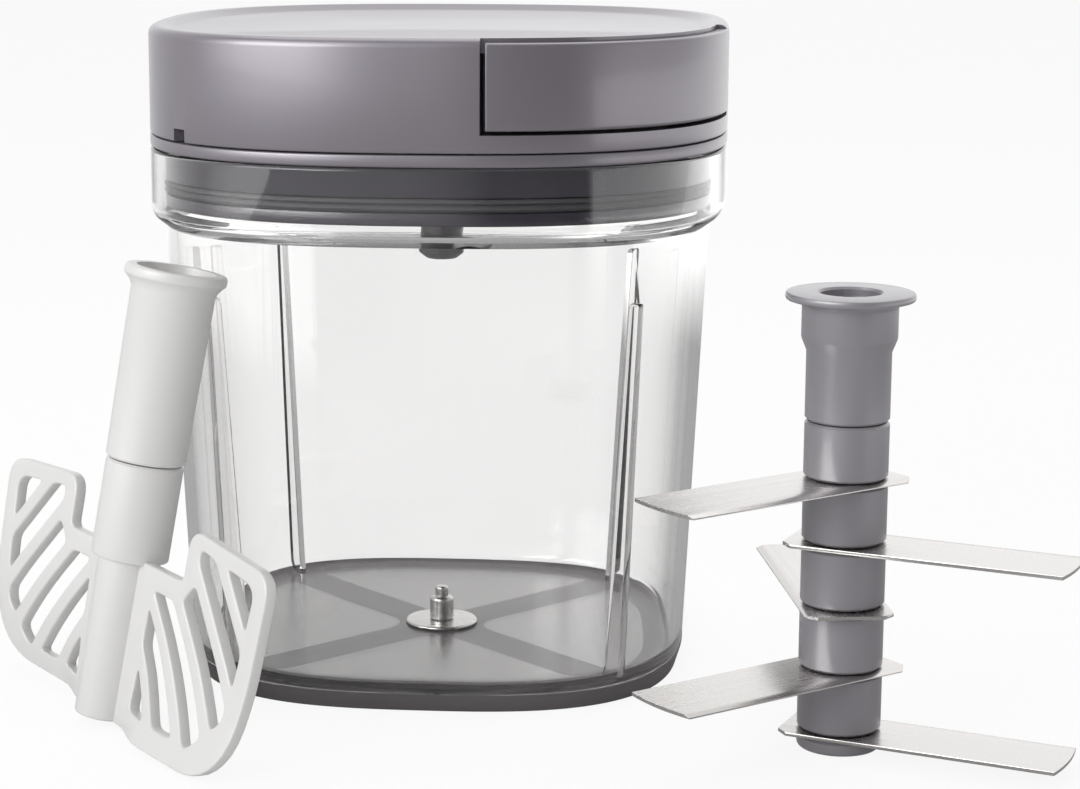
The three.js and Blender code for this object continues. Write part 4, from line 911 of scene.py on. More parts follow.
# %% [markdown]
# ## Cover
# The cover is a thin shell with a dish on top. The corner recess for the grip is cut from it and gets a
# lining, as the real moulding has, so that pulling the grip out shows a floor, a back wall and the cord's
# bush. A boolean for each feature is chosen over modelling the corner by hand, because the recess then
# keeps the curve of the wall.

# %% Cover shell
DISH_EDGE = 0.12
COVER_FOOT_ROUND = 0.4


def cover_shell():
    inner = LID_HALF - COVER_WALL
    profile = [(3.0, ROOF_UNDER)]
    profile += arc((inner - COVER_FILLET, ROOF_UNDER - COVER_FILLET), COVER_FILLET, 90, 0, 4)
    profile += [(inner, COVER_LOW + 0.2), (inner + 0.2, COVER_LOW)]
    foot_middle = (LID_HALF - COVER_FOOT_ROUND, COVER_LOW + COVER_FOOT_ROUND)
    profile += arc(foot_middle, COVER_FOOT_ROUND, -90, 0, 3)
    profile += [(LID_HALF, (COVER_LOW + COVER_TOP) / 2)]
    profile += arc((LID_HALF - COVER_FILLET, COVER_TOP - COVER_FILLET), COVER_FILLET, 0, 90, 8)
    rim_inner = LID_HALF - DISH_RIM
    profile += [(rim_inner + 0.4, COVER_TOP), (rim_inner, COVER_TOP - DISH_EDGE)]
    profile += [(rim_inner - DISH_SLOPE + 0.3, DISH_Z + DISH_EDGE), (rim_inner - DISH_SLOPE - 0.4, DISH_Z)]
    profile += [(3.0, DISH_Z)]
    return squared(turned("cover", profile, SQUARE_SEGMENTS))


cover = cover_shell()
print("cover shell faces:", len(cover.data.polygons))

# %% Lining and bosses
PILLAR_RADIUS = 4.2
PILLAR_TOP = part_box("lid_tray")[1].z / MM
POST_BOSS_RADIUS = 8.0
POST_BOSS_DEPTH = 1.3
lining_low = RECESS_FLOOR - RECESS_WALL
lining = squared_ring("lining", RECESS_HALF - RECESS_WALL, LID_HALF - 0.5, lining_low, ROOF_UNDER + 1)
combine(lining, corner_block(HANDLE_START - RECESS_WALL, COVER_LOW, COVER_TOP + 5), "INTERSECT")
combine(cover, lining, "UNION")
for boss in at_screws("boss", PILLAR_RADIUS, PILLAR_TOP + GAP, ROOF_UNDER + 1):
    combine(cover, boss, "UNION")
post_boss = cylinder("post_boss", POST_BOSS_RADIUS, ROOF_UNDER - POST_BOSS_DEPTH, ROOF_UNDER + 1)
combine(cover, post_boss, "UNION")
print("cover faces with lining and bosses:", len(cover.data.polygons))

# %% Recess and holes
CORD_HOLE = 3.5
SCREW_HOLE = 1.8
SPIGOT_HOLE = 4.3
SPIGOT_DEPTH = 3.2
recess = squared_ring("recess", RECESS_HALF, LID_HALF + 6, RECESS_FLOOR, ROOF_UNDER)
combine(recess, corner_block(HANDLE_START, COVER_LOW, COVER_TOP), "INTERSECT")
combine(cover, recess, "DIFFERENCE")
edge_half = LID_HALF + HANDLE_PROUD - HANDLE_SKIN - GAP
edge = squared_ring("edge", edge_half, LID_HALF + 6, ROOF_UNDER - GAP, COVER_TOP + 6)
combine(edge, corner_block(HANDLE_START, COVER_LOW, COVER_TOP + 10), "INTERSECT")
combine(cover, edge, "DIFFERENCE")
hole_start = (RECESS_HALF - 2 * RECESS_WALL) * CORNER
combine(cover, along_pull(cylinder("cord_hole", CORD_HOLE, hole_start, LID_HALF, 32)), "DIFFERENCE")
for hole in at_screws("thread", SCREW_HOLE, PILLAR_TOP - 4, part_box("lid_screw_1")[1].z / MM + GAP, 16):
    combine(cover, hole, "DIFFERENCE")
spigot_hole = cylinder("spigot", SPIGOT_HOLE, ROOF_UNDER - SPIGOT_DEPTH, ROOF_UNDER + GAP, 32)
combine(cover, spigot_hole, "DIFFERENCE")
print("cover faces with recess and holes:", len(cover.data.polygons))

# %% Notch and edges
NOTCH_HALF = 2.3
NOTCH_HEIGHT = 2.9
NOTCH_FROM, NOTCH_TO = 60, 76
NOTCH_ANGLE = -138
notch_outline = [(NOTCH_FROM, -NOTCH_HALF), (NOTCH_TO, -NOTCH_HALF)]
notch_outline += [(NOTCH_TO, NOTCH_HALF), (NOTCH_FROM, NOTCH_HALF)]
notch = plate("notch", notch_outline, COVER_LOW - NOTCH_HEIGHT, COVER_LOW + NOTCH_HEIGHT)
combine(cover, turn_to(notch, Matrix.Rotation(math.radians(NOTCH_ANGLE), 4, "Z")), "DIFFERENCE")
soften(cover, 0.18, 2, 55)
cover.name = "cover_moulding"
finish(cover, "lid", "lid_grey", LID_GREY, "top_cover")
print("cover faces:", len(cover.data.polygons))

# %% [markdown]
# ## Tray
# The tray closes the lid from below. Its skirt has a groove for the seal, its lip carries the cover, and
# five pillars and a hub for the bearing stand on its floor. One profile makes skirt, rim and floor, and
# booleans add the rest. The rim matches the cover. The skirt stands inside the collar, and its darker grey
# is painted shade, so the faces above the rim's underside get the second finish, the cover's grey.

# %% Tray shell
TRAY_WALL = 2.2
TRAY_FLOOR = TRAY_UNDER + TRAY_WALL
SKIRT_HALF = LID_HALF - BOWL_WALL - 2 * GAP
SKIRT_LIP = 0.6
GROOVE_LOW = TRAY_UNDER + 2.2
GROOVE_HIGH = GROOVE_LOW + 3.4
GROOVE_DEPTH = 1.8
RIM_EDGE = 0.45
TRAY_MIDDLE = 20.0


def tray_shell():
    lip = LID_HALF - COVER_WALL - 2 * GAP
    inner = SKIRT_HALF - GROOVE_DEPTH - TRAY_WALL
    groove = SKIRT_HALF - GROOVE_DEPTH
    profile = [(TRAY_MIDDLE, TRAY_UNDER), (SKIRT_HALF - 3.0, TRAY_UNDER)]
    profile += [(SKIRT_HALF - 2.9, TRAY_UNDER - SKIRT_LIP)]
    profile += arc((SKIRT_HALF - 0.4, TRAY_UNDER - 0.2), 0.4, -80, 0, 3)
    profile += [(SKIRT_HALF, GROOVE_LOW), (groove, GROOVE_LOW + 0.01)]
    profile += [(groove, GROOVE_HIGH - 0.01), (SKIRT_HALF, GROOVE_HIGH), (SKIRT_HALF, FLANGE_LOW - 0.01)]
    profile += [(LID_HALF - 0.5, FLANGE_LOW)]
    profile += arc((LID_HALF - RIM_EDGE, FLANGE_LOW + RIM_EDGE), RIM_EDGE, -80, 0, 3)
    profile += arc((LID_HALF - RIM_EDGE, FLANGE_TOP - RIM_EDGE), RIM_EDGE, 0, 80, 3)
    profile += [(lip, FLANGE_TOP), (lip - 0.01, FLANGE_TOP + 3.0), (inner, FLANGE_TOP + 3.01)]
    profile += [(inner - 0.01, TRAY_FLOOR), (TRAY_MIDDLE, TRAY_FLOOR + 0.01)]
    return squared(turned("tray", profile, SQUARE_SEGMENTS))


tray = tray_shell()
print("tray shell faces:", len(tray.data.polygons))

# %% Pillars, hub and gap
SCREW_HEAD_ROOM = 3.3
SCREW_SEAT = PILLAR_TOP - 5.8
SHAFT_RADIUS, SHAFT_GAP, BUSH_WALL = 5.0, 0.4, 1.8
HUB_INNER = SHAFT_RADIUS + SHAFT_GAP + BUSH_WALL + GAP
HUB_OUTER = HUB_INNER + 2.2
BEARING_TOP = TRAY_FLOOR + 1.2
combine(tray, cylinder("hub", HUB_OUTER, TRAY_UNDER + 1, BEARING_TOP), "UNION")
for pillar in at_screws("pillar", PILLAR_RADIUS, TRAY_UNDER + 1, PILLAR_TOP):
    combine(tray, pillar, "UNION")
combine(tray, cylinder("bore", HUB_INNER, TRAY_UNDER - 5, BEARING_TOP + 5), "DIFFERENCE")
for room in at_screws("head_room", SCREW_HEAD_ROOM, TRAY_UNDER - 5, SCREW_SEAT):
    combine(tray, room, "DIFFERENCE")
for room in at_screws("shank_room", SCREW_HOLE, SCREW_SEAT - 2, PILLAR_TOP + 5, 16):
    combine(tray, room, "DIFFERENCE")
gap_half = RECESS_HALF - 2 * RECESS_WALL
lip_gap = squared_ring("lip_gap", gap_half, LID_HALF + 6, FLANGE_TOP, COVER_TOP)
combine(lip_gap, corner_block(HANDLE_START - 2 * RECESS_WALL, FLANGE_TOP, FLANGE_TOP + 6), "INTERSECT")
combine(tray, lip_gap, "DIFFERENCE")
soften(tray, 0.15, 2, 60)
tray.name = "tray_moulding"
finish(tray, "lid", "skirt_grey", DARK_GREY_AND_SKIRT_SHADE, "lid_tray")
# The skirt below the rim keeps the darker grey as painted shade inside the collar, and the rim gets the
# cover's grey.
tray.data.materials.append(LID_GREY)
for face in tray.data.polygons:
    face.material_index = int(face.center.z > (FLANGE_LOW - 0.02) * MM)
print("tray faces:", len(tray.data.polygons))

# %% [markdown]
# ## Seal ring
# The seal is soft rubber with two small lobes that rub on the collar's inside. It is one ring whose profile
# has the lobes, because a separate torus for each would leave seams.

# %% Seal ring
seal_inner = SKIRT_HALF - GROOVE_DEPTH + GAP
seal_outer = LID_HALF - BOWL_WALL - GAP
seal_low = GROOVE_LOW + GAP
seal_step = (GROOVE_HIGH - GAP - seal_low) / 4
seal_face = SKIRT_HALF - GAP
LOBE_FOOT, LOBE_TIP, LOBE_ROUND = 0.9, 0.25, 0.05
seal_profile = [(seal_inner, seal_low), (seal_face, seal_low + 0.01)]
for lobe in range(2):
    middle = seal_low + (2 * lobe + 1) * seal_step
    seal_profile += [(seal_face, middle - seal_step * LOBE_FOOT)]
    seal_profile += [(seal_outer - LOBE_ROUND, middle - seal_step * LOBE_TIP), (seal_outer, middle)]
    seal_profile += [(seal_outer - LOBE_ROUND, middle + seal_step * LOBE_TIP)]
seal_profile += [(seal_face, GROOVE_HIGH - GAP - 0.01), (seal_inner, GROOVE_HIGH - GAP)]
seal = squared(turned_ring("seal", seal_profile, SQUARE_SEGMENTS))
finish(seal, "lid", "seal_rubber", SEAL_RUBBER, "seal_ring")
print("seal faces:", len(seal.data.polygons))

# %% [markdown]
# ## Grip
# The grip is the lid's corner as a separate moulding: its face follows the lid's side, its upper edge
# stands in a gap of the dished rim, and its ends are bevelled. The real one is hollow behind for the cord's
# stop. It is a ring of the right section, cut down to the corner by a boolean.

# %% Grip
HANDLE_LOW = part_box("handle_shell")[0].z / MM
HANDLE_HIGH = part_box("handle_shell")[1].z / MM
HANDLE_OUTER = LID_HALF + HANDLE_PROUD
GRIP_PLATE = 2.6
SHELL_INNER = RECESS_HALF + GAP + GRIP_PLATE + GAP
HANDLE_BEGIN = HANDLE_START + 1.2
GRIP_BEVEL = 0.8
GRIP_ROUND = 0.8
GRIP_POCKET = 3.9


def grip_ring():
    outer = HANDLE_OUTER
    profile = [(SHELL_INNER, HANDLE_LOW), (outer - 0.9, HANDLE_LOW + 0.01)]
    profile += arc((outer - GRIP_ROUND, HANDLE_LOW + GRIP_ROUND), GRIP_ROUND, -80, 0, 5)
    profile += arc((outer - GRIP_ROUND, HANDLE_HIGH - GRIP_ROUND), GRIP_ROUND, 0, 90, 5)
    profile += [(outer - HANDLE_SKIN, HANDLE_HIGH), (outer - HANDLE_SKIN - 0.01, ROOF_UNDER - GAP)]
    profile += [(SHELL_INNER + 0.01, ROOF_UNDER - GAP - 0.01)]
    return squared(turned_ring("grip", profile, SQUARE_SEGMENTS))


def grip_corner():
    start, far, outer, bevel = HANDLE_BEGIN, LID_HALF + 8, HANDLE_OUTER, GRIP_BEVEL
    outline = [(start, -start), (start, bevel - outer), (start + bevel, -outer), (start + bevel, -far)]
    outline += [(far, -far), (far, -start - bevel), (outer, -start - bevel), (outer - bevel, -start)]
    return plate("grip_corner", list(reversed(outline)), HANDLE_LOW - 5, COVER_TOP + 5)


grip = grip_ring()
combine(grip, grip_corner(), "INTERSECT")
pocket_start = SHELL_INNER * CORNER
pocket = cylinder("pocket", GRIP_POCKET, pocket_start - 5, pocket_start + 5.5, 32)
combine(grip, along_pull(pocket), "DIFFERENCE")
soften(grip, 0.25, 2, 50)
grip.name = "corner_grip"
finish(grip, "handle", "lid_grey", LID_GREY, "handle_shell")
print("grip faces:", len(grip.data.polygons))

# %% [markdown]
# ## Copies of small CAD pieces
# The driving head, the bearing's bush and the cord's bush already have their true form, so each look is a
# copy of the CAD mesh. Its triangles lie loose, so they are merged and the flat seams are dissolved. Then
# its edges are bevelled by a hair, which gives them the thin highlights of a real moulding, and it is
# smoothed.

# %% Dressing a copy
LOOSE_CORNERS = 0.005 * MM
FLAT_ANGLE = 1
EDGE_ANGLE = 30


def dressed_copy(node, name, body, slot, material, width):
    piece = nodes[node].copy()
    piece.data = nodes[node].data.copy()
    piece.name = name
    bpy.context.scene.collection.objects.link(piece)
    only(piece)
    bpy.ops.object.mode_set(mode="EDIT")
    bpy.ops.mesh.select_all(action="SELECT")
    bpy.ops.mesh.remove_doubles(threshold=LOOSE_CORNERS)
    bpy.ops.mesh.dissolve_limited(angle_limit=math.radians(FLAT_ANGLE))
    bpy.ops.object.mode_set(mode="OBJECT")
    soften(piece, width, 2, EDGE_ANGLE)
    return finish(piece, body, slot, material, node, smooth=EDGE_ANGLE)


dressed_copy("drive_spindle", "driving_head", "spindle", "skirt_grey", HEAD_GREY, 0.35)
dressed_copy("spindle_bushing", "bearing_bush", "lid", "black_plastic", BLACK_PLASTIC, 0.15)
dressed_copy("cord_eyelet", "cord_bush", "lid", "inner_white", INNER_WHITE, 0.15)
print("dressed copies: 3")

# %% [markdown]
# ## Cutter
# The cutter is a stack on a six-sided core: an end cap, five blades with spacers between them, and the
# flanged sleeve that the lid's driving head drops into. The small bevels where two rings meet read as dark
# grooves, so each ring keeps its own. The whole stack is modelled on the bowl's axis and then carried to
# its place beside the bowl.

# %% Cutter sizes
cap_low, cap_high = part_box("cutter_end_cap")
CUTTER_X, CUTTER_Y = (cap_low.x + cap_high.x) / 2, (cap_low.y + cap_high.y) / 2
FIRST_BLADE = -141.3
CUTTER_TURN = Matrix.Rotation(math.radians(FIRST_BLADE), 4, "Z")
CUTTER_PLACE = Matrix.Translation((CUTTER_X, CUTTER_Y, 0)) @ CUTTER_TURN
CUTTER_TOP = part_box("cutter_core")[1].z / MM
SLEEVE_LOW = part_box("spacer_1")[1].z / MM + GAP
CUTTER_RADIUS = 8.95
NECK_RADIUS_TOP = 10.1
FLANGE_RADIUS = 13.6
FLANGE_THICK = 1.6
FLANGE_ROUND = 0.5
NECK_LOW = CUTTER_TOP - 9.7
CORE_ACROSS = 10.2
SOCKET_ACROSS = 11.2
SOCKET_DEPTH = 14
MOUTH_RADIUS = 6.4
MOUTH_BEVEL = 0.5
GROOVE = 0.5
PIN_ROOM = 3.3
PIN_ROOM_TOP = 10
print("cutter height:", round(CUTTER_TOP, 1), "mm")

# %% Cutter sleeve
def bar(name, across, low, high):
    size = across / math.sqrt(3)
    turns = [i * math.pi / 3 for i in range(6)]
    return plate(name, [(size * math.cos(turn), size * math.sin(turn)) for turn in turns], low, high)


def pin_room():
    return cylinder("pin_room", PIN_ROOM, -5, PIN_ROOM_TOP, 32)


def sleeve_mouth():
    profile = [(MOUTH_RADIUS, CUTTER_TOP - 2), (MOUTH_RADIUS, CUTTER_TOP - MOUTH_BEVEL)]
    profile += [(MOUTH_RADIUS + MOUTH_BEVEL, CUTTER_TOP), (MOUTH_RADIUS + MOUTH_BEVEL, CUTTER_TOP + 2)]
    return turned("mouth", profile)


def cutter_sleeve():
    profile = [(CORE_ACROSS / 2, SLEEVE_LOW), (CUTTER_RADIUS - GROOVE, SLEEVE_LOW + 0.01)]
    profile += [(CUTTER_RADIUS, SLEEVE_LOW + GROOVE), (CUTTER_RADIUS, NECK_LOW - 2.8)]
    profile += [(NECK_RADIUS_TOP - 0.15, NECK_LOW - 0.3), (NECK_RADIUS_TOP, NECK_LOW + 0.3)]
    cove_centre = (NECK_RADIUS_TOP + FLANGE_THICK, CUTTER_TOP - 2 * FLANGE_THICK)
    profile += arc(cove_centre, FLANGE_THICK, 180, 95, 5)
    flange_middle = FLANGE_RADIUS - FLANGE_ROUND
    profile += arc((flange_middle, CUTTER_TOP - FLANGE_THICK + FLANGE_ROUND), FLANGE_ROUND, -85, 0, 3)
    profile += arc((flange_middle, CUTTER_TOP - FLANGE_ROUND), FLANGE_ROUND, 0, 88, 3)
    profile += [(MOUTH_RADIUS + 0.6, CUTTER_TOP)]
    sleeve = turned("cutter_sleeve", profile)
    combine(sleeve, sleeve_mouth(), "DIFFERENCE")
    combine(sleeve, bar("socket", SOCKET_ACROSS, CUTTER_TOP - SOCKET_DEPTH, CUTTER_TOP - 1), "DIFFERENCE")
    combine(sleeve, bar("shank", CORE_ACROSS, 0.5, SLEEVE_LOW + 1), "UNION")
    combine(sleeve, pin_room(), "DIFFERENCE")
    return sleeve


sleeve = turn_to(cutter_sleeve(), CUTTER_PLACE)
finish(sleeve, "cutter", "cutter_grey", CUTTER_GREY, "cutter_core")
print("sleeve faces:", len(sleeve.data.polygons))

# %% Cutter rings
def groove_ring(name, node, rounded_foot=False):
    low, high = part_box(node)[0].z / MM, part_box(node)[1].z / MM
    bore = CORE_ACROSS / math.sqrt(3) + 0.4
    foot = 1.0 if rounded_foot else GROOVE
    profile = [(bore, low), (CUTTER_RADIUS - foot, low + 0.001)]
    if rounded_foot:
        profile += arc((CUTTER_RADIUS - foot, low + foot), foot, -80, 0, 4)
    else:
        profile += [(CUTTER_RADIUS, low + foot)]
    profile += [(CUTTER_RADIUS, high - GROOVE), (CUTTER_RADIUS - GROOVE, high - 0.001), (bore, high)]
    ring = turn_to(turned_ring(name, profile), CUTTER_PLACE)
    return finish(ring, "cutter", "cutter_grey", CUTTER_GREY, node)


groove_ring("cutter_foot_ring", "cutter_end_cap", True)
for count in range(1, 6):
    groove_ring(f"cutter_ring_{count}", f"spacer_{count}")
print("cutter rings: 6")

# %% [markdown]
# ## Blades
# A blade is flat sheet with a tip cut on the circle that it sweeps, and its leading edge is ground from
# above. The grinding is a bisect in edit mode: one slanting plane trims the edge and the fill closes it,
# which leaves the crisp line that catches the light. All five share one outline, each with its own mesh,
# turned by 120 degrees.

# %% Blade sizes
BLADE_REACH = 50
BLADE_LEAD = 9.8
BLADE_TRAIL = 9.2
BLADE_TAIL = 11.3
TAIL_CUT = 2.4
BLADE_BEVEL = 1.6
BLADE_EDGE = 0.25
BLADE_TURN = 120
BLADE_STEEL = (0.790, 0.780, 0.772)
SCRATCH_SIZE = (1 / 14, 1 / 900, 1 / 900)
print("circle swept by the blades:", 2 * BLADE_REACH, "mm")

# %% Blades
def blade_outline():
    outline = [(-BLADE_TAIL, TAIL_CUT - BLADE_TRAIL), (TAIL_CUT - BLADE_TAIL, -BLADE_TRAIL)]
    first = -math.degrees(math.asin(BLADE_TRAIL / BLADE_REACH))
    last = math.degrees(math.asin(BLADE_LEAD / BLADE_REACH))
    outline += arc((0, 0), BLADE_REACH, first, last, 16)
    return outline + [(TAIL_CUT - BLADE_TAIL, BLADE_LEAD), (-BLADE_TAIL, BLADE_LEAD - TAIL_CUT)]


def blade_material(name, turn):
    made = steel(name, BLADE_STEEL, 0.26, scratch=0.03)
    squeeze = made.node_tree.nodes["Mapping"]
    squeeze.vector_type = "TEXTURE"
    squeeze.inputs["Rotation"].default_value = (0, 0, turn)
    squeeze.inputs["Scale"].default_value = SCRATCH_SIZE
    return made


def grind(piece, low, high):
    fall = math.atan2(high - low - BLADE_EDGE, BLADE_BEVEL)
    only(piece)
    bpy.ops.object.mode_set(mode="EDIT")
    bpy.ops.mesh.select_all(action="SELECT")
    bpy.ops.mesh.bisect(
        plane_co=(0, (BLADE_LEAD - BLADE_BEVEL) * MM, high * MM),
        plane_no=(0, math.sin(fall), math.cos(fall)),
        use_fill=True, clear_outer=True)
    bpy.ops.object.mode_set(mode="OBJECT")


def blade(number):
    node = f"blade_{number}"
    low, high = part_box(node)[0].z / MM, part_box(node)[1].z / MM
    piece = plate(f"steel_blade_{number}", blade_outline(), low, high)
    combine(piece, bar("hole", CORE_ACROSS + 2 * GAP, low - 1, high + 1), "DIFFERENCE")
    grind(piece, low, high)
    soften(piece, 0.06, 1, 30)
    turn = math.radians((number - 1) * BLADE_TURN)
    turn_to(piece, CUTTER_PLACE @ Matrix.Rotation(turn, 4, "Z"))
    material = blade_material(f"blade_steel_{number}", turn + math.radians(FIRST_BLADE))
    return finish(piece, "cutter", "blade_steel", material, node)


for number in range(1, 6):
    made = blade(number)
print("faces of one blade:", len(made.data.polygons))

# %% [markdown]
# ## Paddle
# The paddle mixes instead of cutting. It stands beside the bowl and leans on its corner. Its upper sleeve
# plugs onto a hub with two thin wings. The pieces are modelled upright at the origin and carried to the
# leaning place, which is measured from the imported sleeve, because upright profiles are far easier to draw.

# %% Paddle place
PADDLE_HEIGHT = 100.4
PADDLE_LEAN = math.radians(10.7)
PADDLE_LEAN_TOWARDS = math.radians(25.8)
PADDLE_TWIST = math.radians(-47.7)


def paddle_place():
    towards = Matrix.Rotation(PADDLE_LEAN_TOWARDS, 4, "Z")
    twist = Matrix.Rotation(PADDLE_TWIST - PADDLE_LEAN_TOWARDS, 4, "Z")
    turn = towards @ Matrix.Rotation(PADDLE_LEAN, 4, "Y") @ twist
    back = turn.inverted()
    places = [back @ v.co for v in nodes["paddle_sleeve"].data.vertices]
    middle = [(min(p[i] for p in places) + max(p[i] for p in places)) / 2 for i in range(2)]
    top = max(p.z for p in places)
    foot = turn @ Vector((middle[0], middle[1], top - PADDLE_HEIGHT * MM))
    return Matrix.Translation(foot) @ turn


PADDLE_PLACE = paddle_place()
print("paddle's foot:", [round(v / MM, 2) for v in PADDLE_PLACE.translation])

# %% Paddle sleeve
SLEEVE_SEAM = 57.6
HUB_TOP = 36.0
SLEEVE_TOP_RADIUS = 9.3
SLEEVE_LOW_RADIUS = 8.6
PADDLE_FLANGE_RADIUS = 11.3
PADDLE_FLANGE = 2.4
SPIGOT_ROOM = 5.4
SPIGOT_HEIGHT = 10


def paddle_mouth():
    mouth = SLEEVE_TOP_RADIUS - 0.5
    profile = [(mouth - 0.3, PADDLE_HEIGHT - 2), (mouth, PADDLE_HEIGHT + 0.01), (mouth, PADDLE_HEIGHT + 3)]
    return turned("mouth", profile)


def paddle_sleeve():
    low = SLEEVE_SEAM + GAP
    share = (SLEEVE_SEAM - HUB_TOP) / (PADDLE_HEIGHT - HUB_TOP)
    seam_radius = SLEEVE_LOW_RADIUS + (SLEEVE_TOP_RADIUS - SLEEVE_LOW_RADIUS) * share
    under = PADDLE_HEIGHT - PADDLE_FLANGE
    profile = [(6.0, low), (seam_radius - GROOVE, low + 0.001), (seam_radius, low + GROOVE)]
    profile += [(SLEEVE_TOP_RADIUS, under - PADDLE_FLANGE), (SLEEVE_TOP_RADIUS + 0.5, under - 1.2)]
    profile += arc((PADDLE_FLANGE_RADIUS - 0.6, under + 0.6), 0.6, -70, 0, 3)
    profile += arc((PADDLE_FLANGE_RADIUS - 0.7, PADDLE_HEIGHT - 0.7), 0.7, 0, 88, 4)
    profile += [(SLEEVE_TOP_RADIUS, PADDLE_HEIGHT)]
    sleeve = turned("paddle_upper_sleeve", profile)
    combine(sleeve, paddle_mouth(), "DIFFERENCE")
    socket = bar("socket", SOCKET_ACROSS, PADDLE_HEIGHT - SOCKET_DEPTH, PADDLE_HEIGHT - 1)
    combine(sleeve, socket, "DIFFERENCE")
    room = cylinder("spigot_room", SPIGOT_ROOM, low - 5, low + SPIGOT_HEIGHT + GAP, 40)
    combine(sleeve, room, "DIFFERENCE")
    return sleeve


upper = turn_to(paddle_sleeve(), PADDLE_PLACE)
finish(upper, "paddle", "paddle_white", PADDLE_WHITE, "paddle_sleeve")
print("paddle sleeve faces:", len(upper.data.polygons))

# %% [markdown]
# ## Wings
# The two wings are thin plates whose lower edges are swept back, and slanting slots in them let the food
# through. A wing is drawn as a flat curve with six holes, because a curve gets its rounded edge in the same
# step. Cuts across it then add the points that let its lower edge be swept back, and a boolean joins it to
# the hub.

# %% Wing sizes
HUB_RADIUS = 6.9
HUB_LOW_RADIUS = 6.5
WING_THICKNESS = 2.8
WING_FOOT_REACH = 52.8
WING_TOP_REACH = 55.4
WING_TOP = 48.6
WING_SHOULDER = 24.2
WING_WEB = 36.8
FOOT_ROUND, TOP_ROUND, STEP_ROUND, WEB_ROUND = 13, 6, 5, 2.0
WING_TOP_FALL = 2.6
WING_FRAME = 4.9
WING_TOP_FRAME = 3.6
WING_CURL = 4.7
WING_CURL_HEIGHT = 26
SLOT_COUNT = 6
SLOT_PITCH = 9.05
SLOT_WIDTH = 5.7
SLOT_FIRST = 16.4
SLOT_ROUND = 1.6
SLOT_ANGLE = math.radians(48)
SLOT_HUB_GAP = 6.0
print("paddle's width over both wings:", 2 * WING_TOP_REACH, "mm")

# %% Rounding and clipping an outline
def rounded(corners, steps=6):
    points = []
    for i, (corner, radius) in enumerate(corners):
        before, after = Vector(corners[i - 1][0]), Vector(corners[(i + 1) % len(corners)][0])
        corner = Vector(corner)
        if not radius:
            points.append(corner)
            continue
        start = corner.lerp(before, min(0.5, radius / (before - corner).length))
        end = corner.lerp(after, min(0.5, radius / (after - corner).length))
        for step in range(steps + 1):
            share = step / steps
            points.append(start.lerp(corner, share).lerp(corner.lerp(end, share), share))
    return points


def clipped(points, normal, limit):
    kept = []
    for i, point in enumerate(points):
        after = points[(i + 1) % len(points)]
        here, there = point.dot(normal) - limit, after.dot(normal) - limit
        if here >= 0:
            kept.append(point)
        if here * there < 0:
            kept.append(point.lerp(after, here / (here - there)))
    return kept


print("points of a rounded corner:", len(rounded([((0, 0), 1), ((4, 0), 0), ((4, 4), 0)])) - 2)

# %% Wing outline
def wing_window():
    top = WING_TOP - WING_TOP_FRAME
    hub = HUB_RADIUS + SLOT_HUB_GAP
    corners = [(hub, WING_FRAME), (WING_FOOT_REACH - FOOT_ROUND, WING_FRAME)]
    corners += [(WING_FOOT_REACH - WING_FRAME, FOOT_ROUND)]
    corners += [(WING_TOP_REACH - WING_FRAME, top - WING_TOP_FALL)]
    corners += [(WING_SHOULDER + WING_FRAME, top), (WING_SHOULDER + WING_FRAME, WING_WEB + 0.5)]
    corners += [(WING_SHOULDER, WING_WEB - WING_FRAME), (hub, WING_WEB - WING_FRAME)]
    return [Vector(c) for c in corners]


def wing_outlines():
    corners = [((0, 0), 0), ((WING_FOOT_REACH, 0), FOOT_ROUND)]
    corners += [((WING_TOP_REACH, WING_TOP - WING_TOP_FALL), TOP_ROUND)]
    corners += [((WING_SHOULDER, WING_TOP), STEP_ROUND), ((WING_SHOULDER, WING_WEB), WEB_ROUND)]
    corners += [((0, WING_WEB), 0)]
    outlines = [rounded(corners, 8)]
    across = Vector((math.sin(SLOT_ANGLE), math.cos(SLOT_ANGLE)))
    for i in range(SLOT_COUNT):
        middle = SLOT_FIRST + i * SLOT_PITCH
        slot = clipped(wing_window(), across, middle - SLOT_WIDTH / 2)
        slot = clipped(slot, -across, -middle - SLOT_WIDTH / 2)
        outlines.append(rounded([(corner, SLOT_ROUND) for corner in slot]))
    return outlines


print("outlines of a wing and its slots:", len(wing_outlines()))

# %% Wing solid
WING_EDGE = 0.45
CURL_CUT = 3.5


def wing(number):
    data = bpy.data.curves.new(f"wing_{number}", "CURVE")
    data.dimensions = "2D"
    data.fill_mode = "BOTH"
    data.extrude = (WING_THICKNESS / 2 - WING_EDGE) * MM
    data.bevel_depth = WING_EDGE * MM
    data.bevel_resolution = 2
    data.offset = -WING_EDGE * MM
    for outline in wing_outlines():
        spline = data.splines.new("POLY")
        spline.points.add(len(outline) - 1)
        for point, place in zip(spline.points, outline):
            point.co = (place.x * MM, place.y * MM, 0, 1)
        spline.use_cyclic_u = True
    piece = bpy.data.objects.new(f"wing_{number}", data)
    bpy.context.scene.collection.objects.link(piece)
    only(piece)
    bpy.ops.object.convert(target="MESH")
    piece = bpy.context.object
    return turn_to(piece, Matrix.Rotation(math.pi / 2, 4, "X"))


def cut_across(piece):
    only(piece)
    bpy.ops.object.mode_set(mode="EDIT")
    for count in range(1, int(WING_TOP_REACH / CURL_CUT)):
        bpy.ops.mesh.select_all(action="SELECT")
        bpy.ops.mesh.bisect(plane_co=(count * CURL_CUT * MM, 0, 0), plane_no=(1, 0, 0))
    for count in range(1, int(WING_CURL_HEIGHT / CURL_CUT) + 1):
        bpy.ops.mesh.select_all(action="SELECT")
        bpy.ops.mesh.bisect(plane_co=(0, 0, count * CURL_CUT * MM), plane_no=(0, 0, 1))
    bpy.ops.mesh.select_all(action="SELECT")
    bpy.ops.mesh.remove_doubles(threshold=SAME_PLACE)
    bpy.ops.mesh.normals_make_consistent(inside=False)
    bpy.ops.object.mode_set(mode="OBJECT")


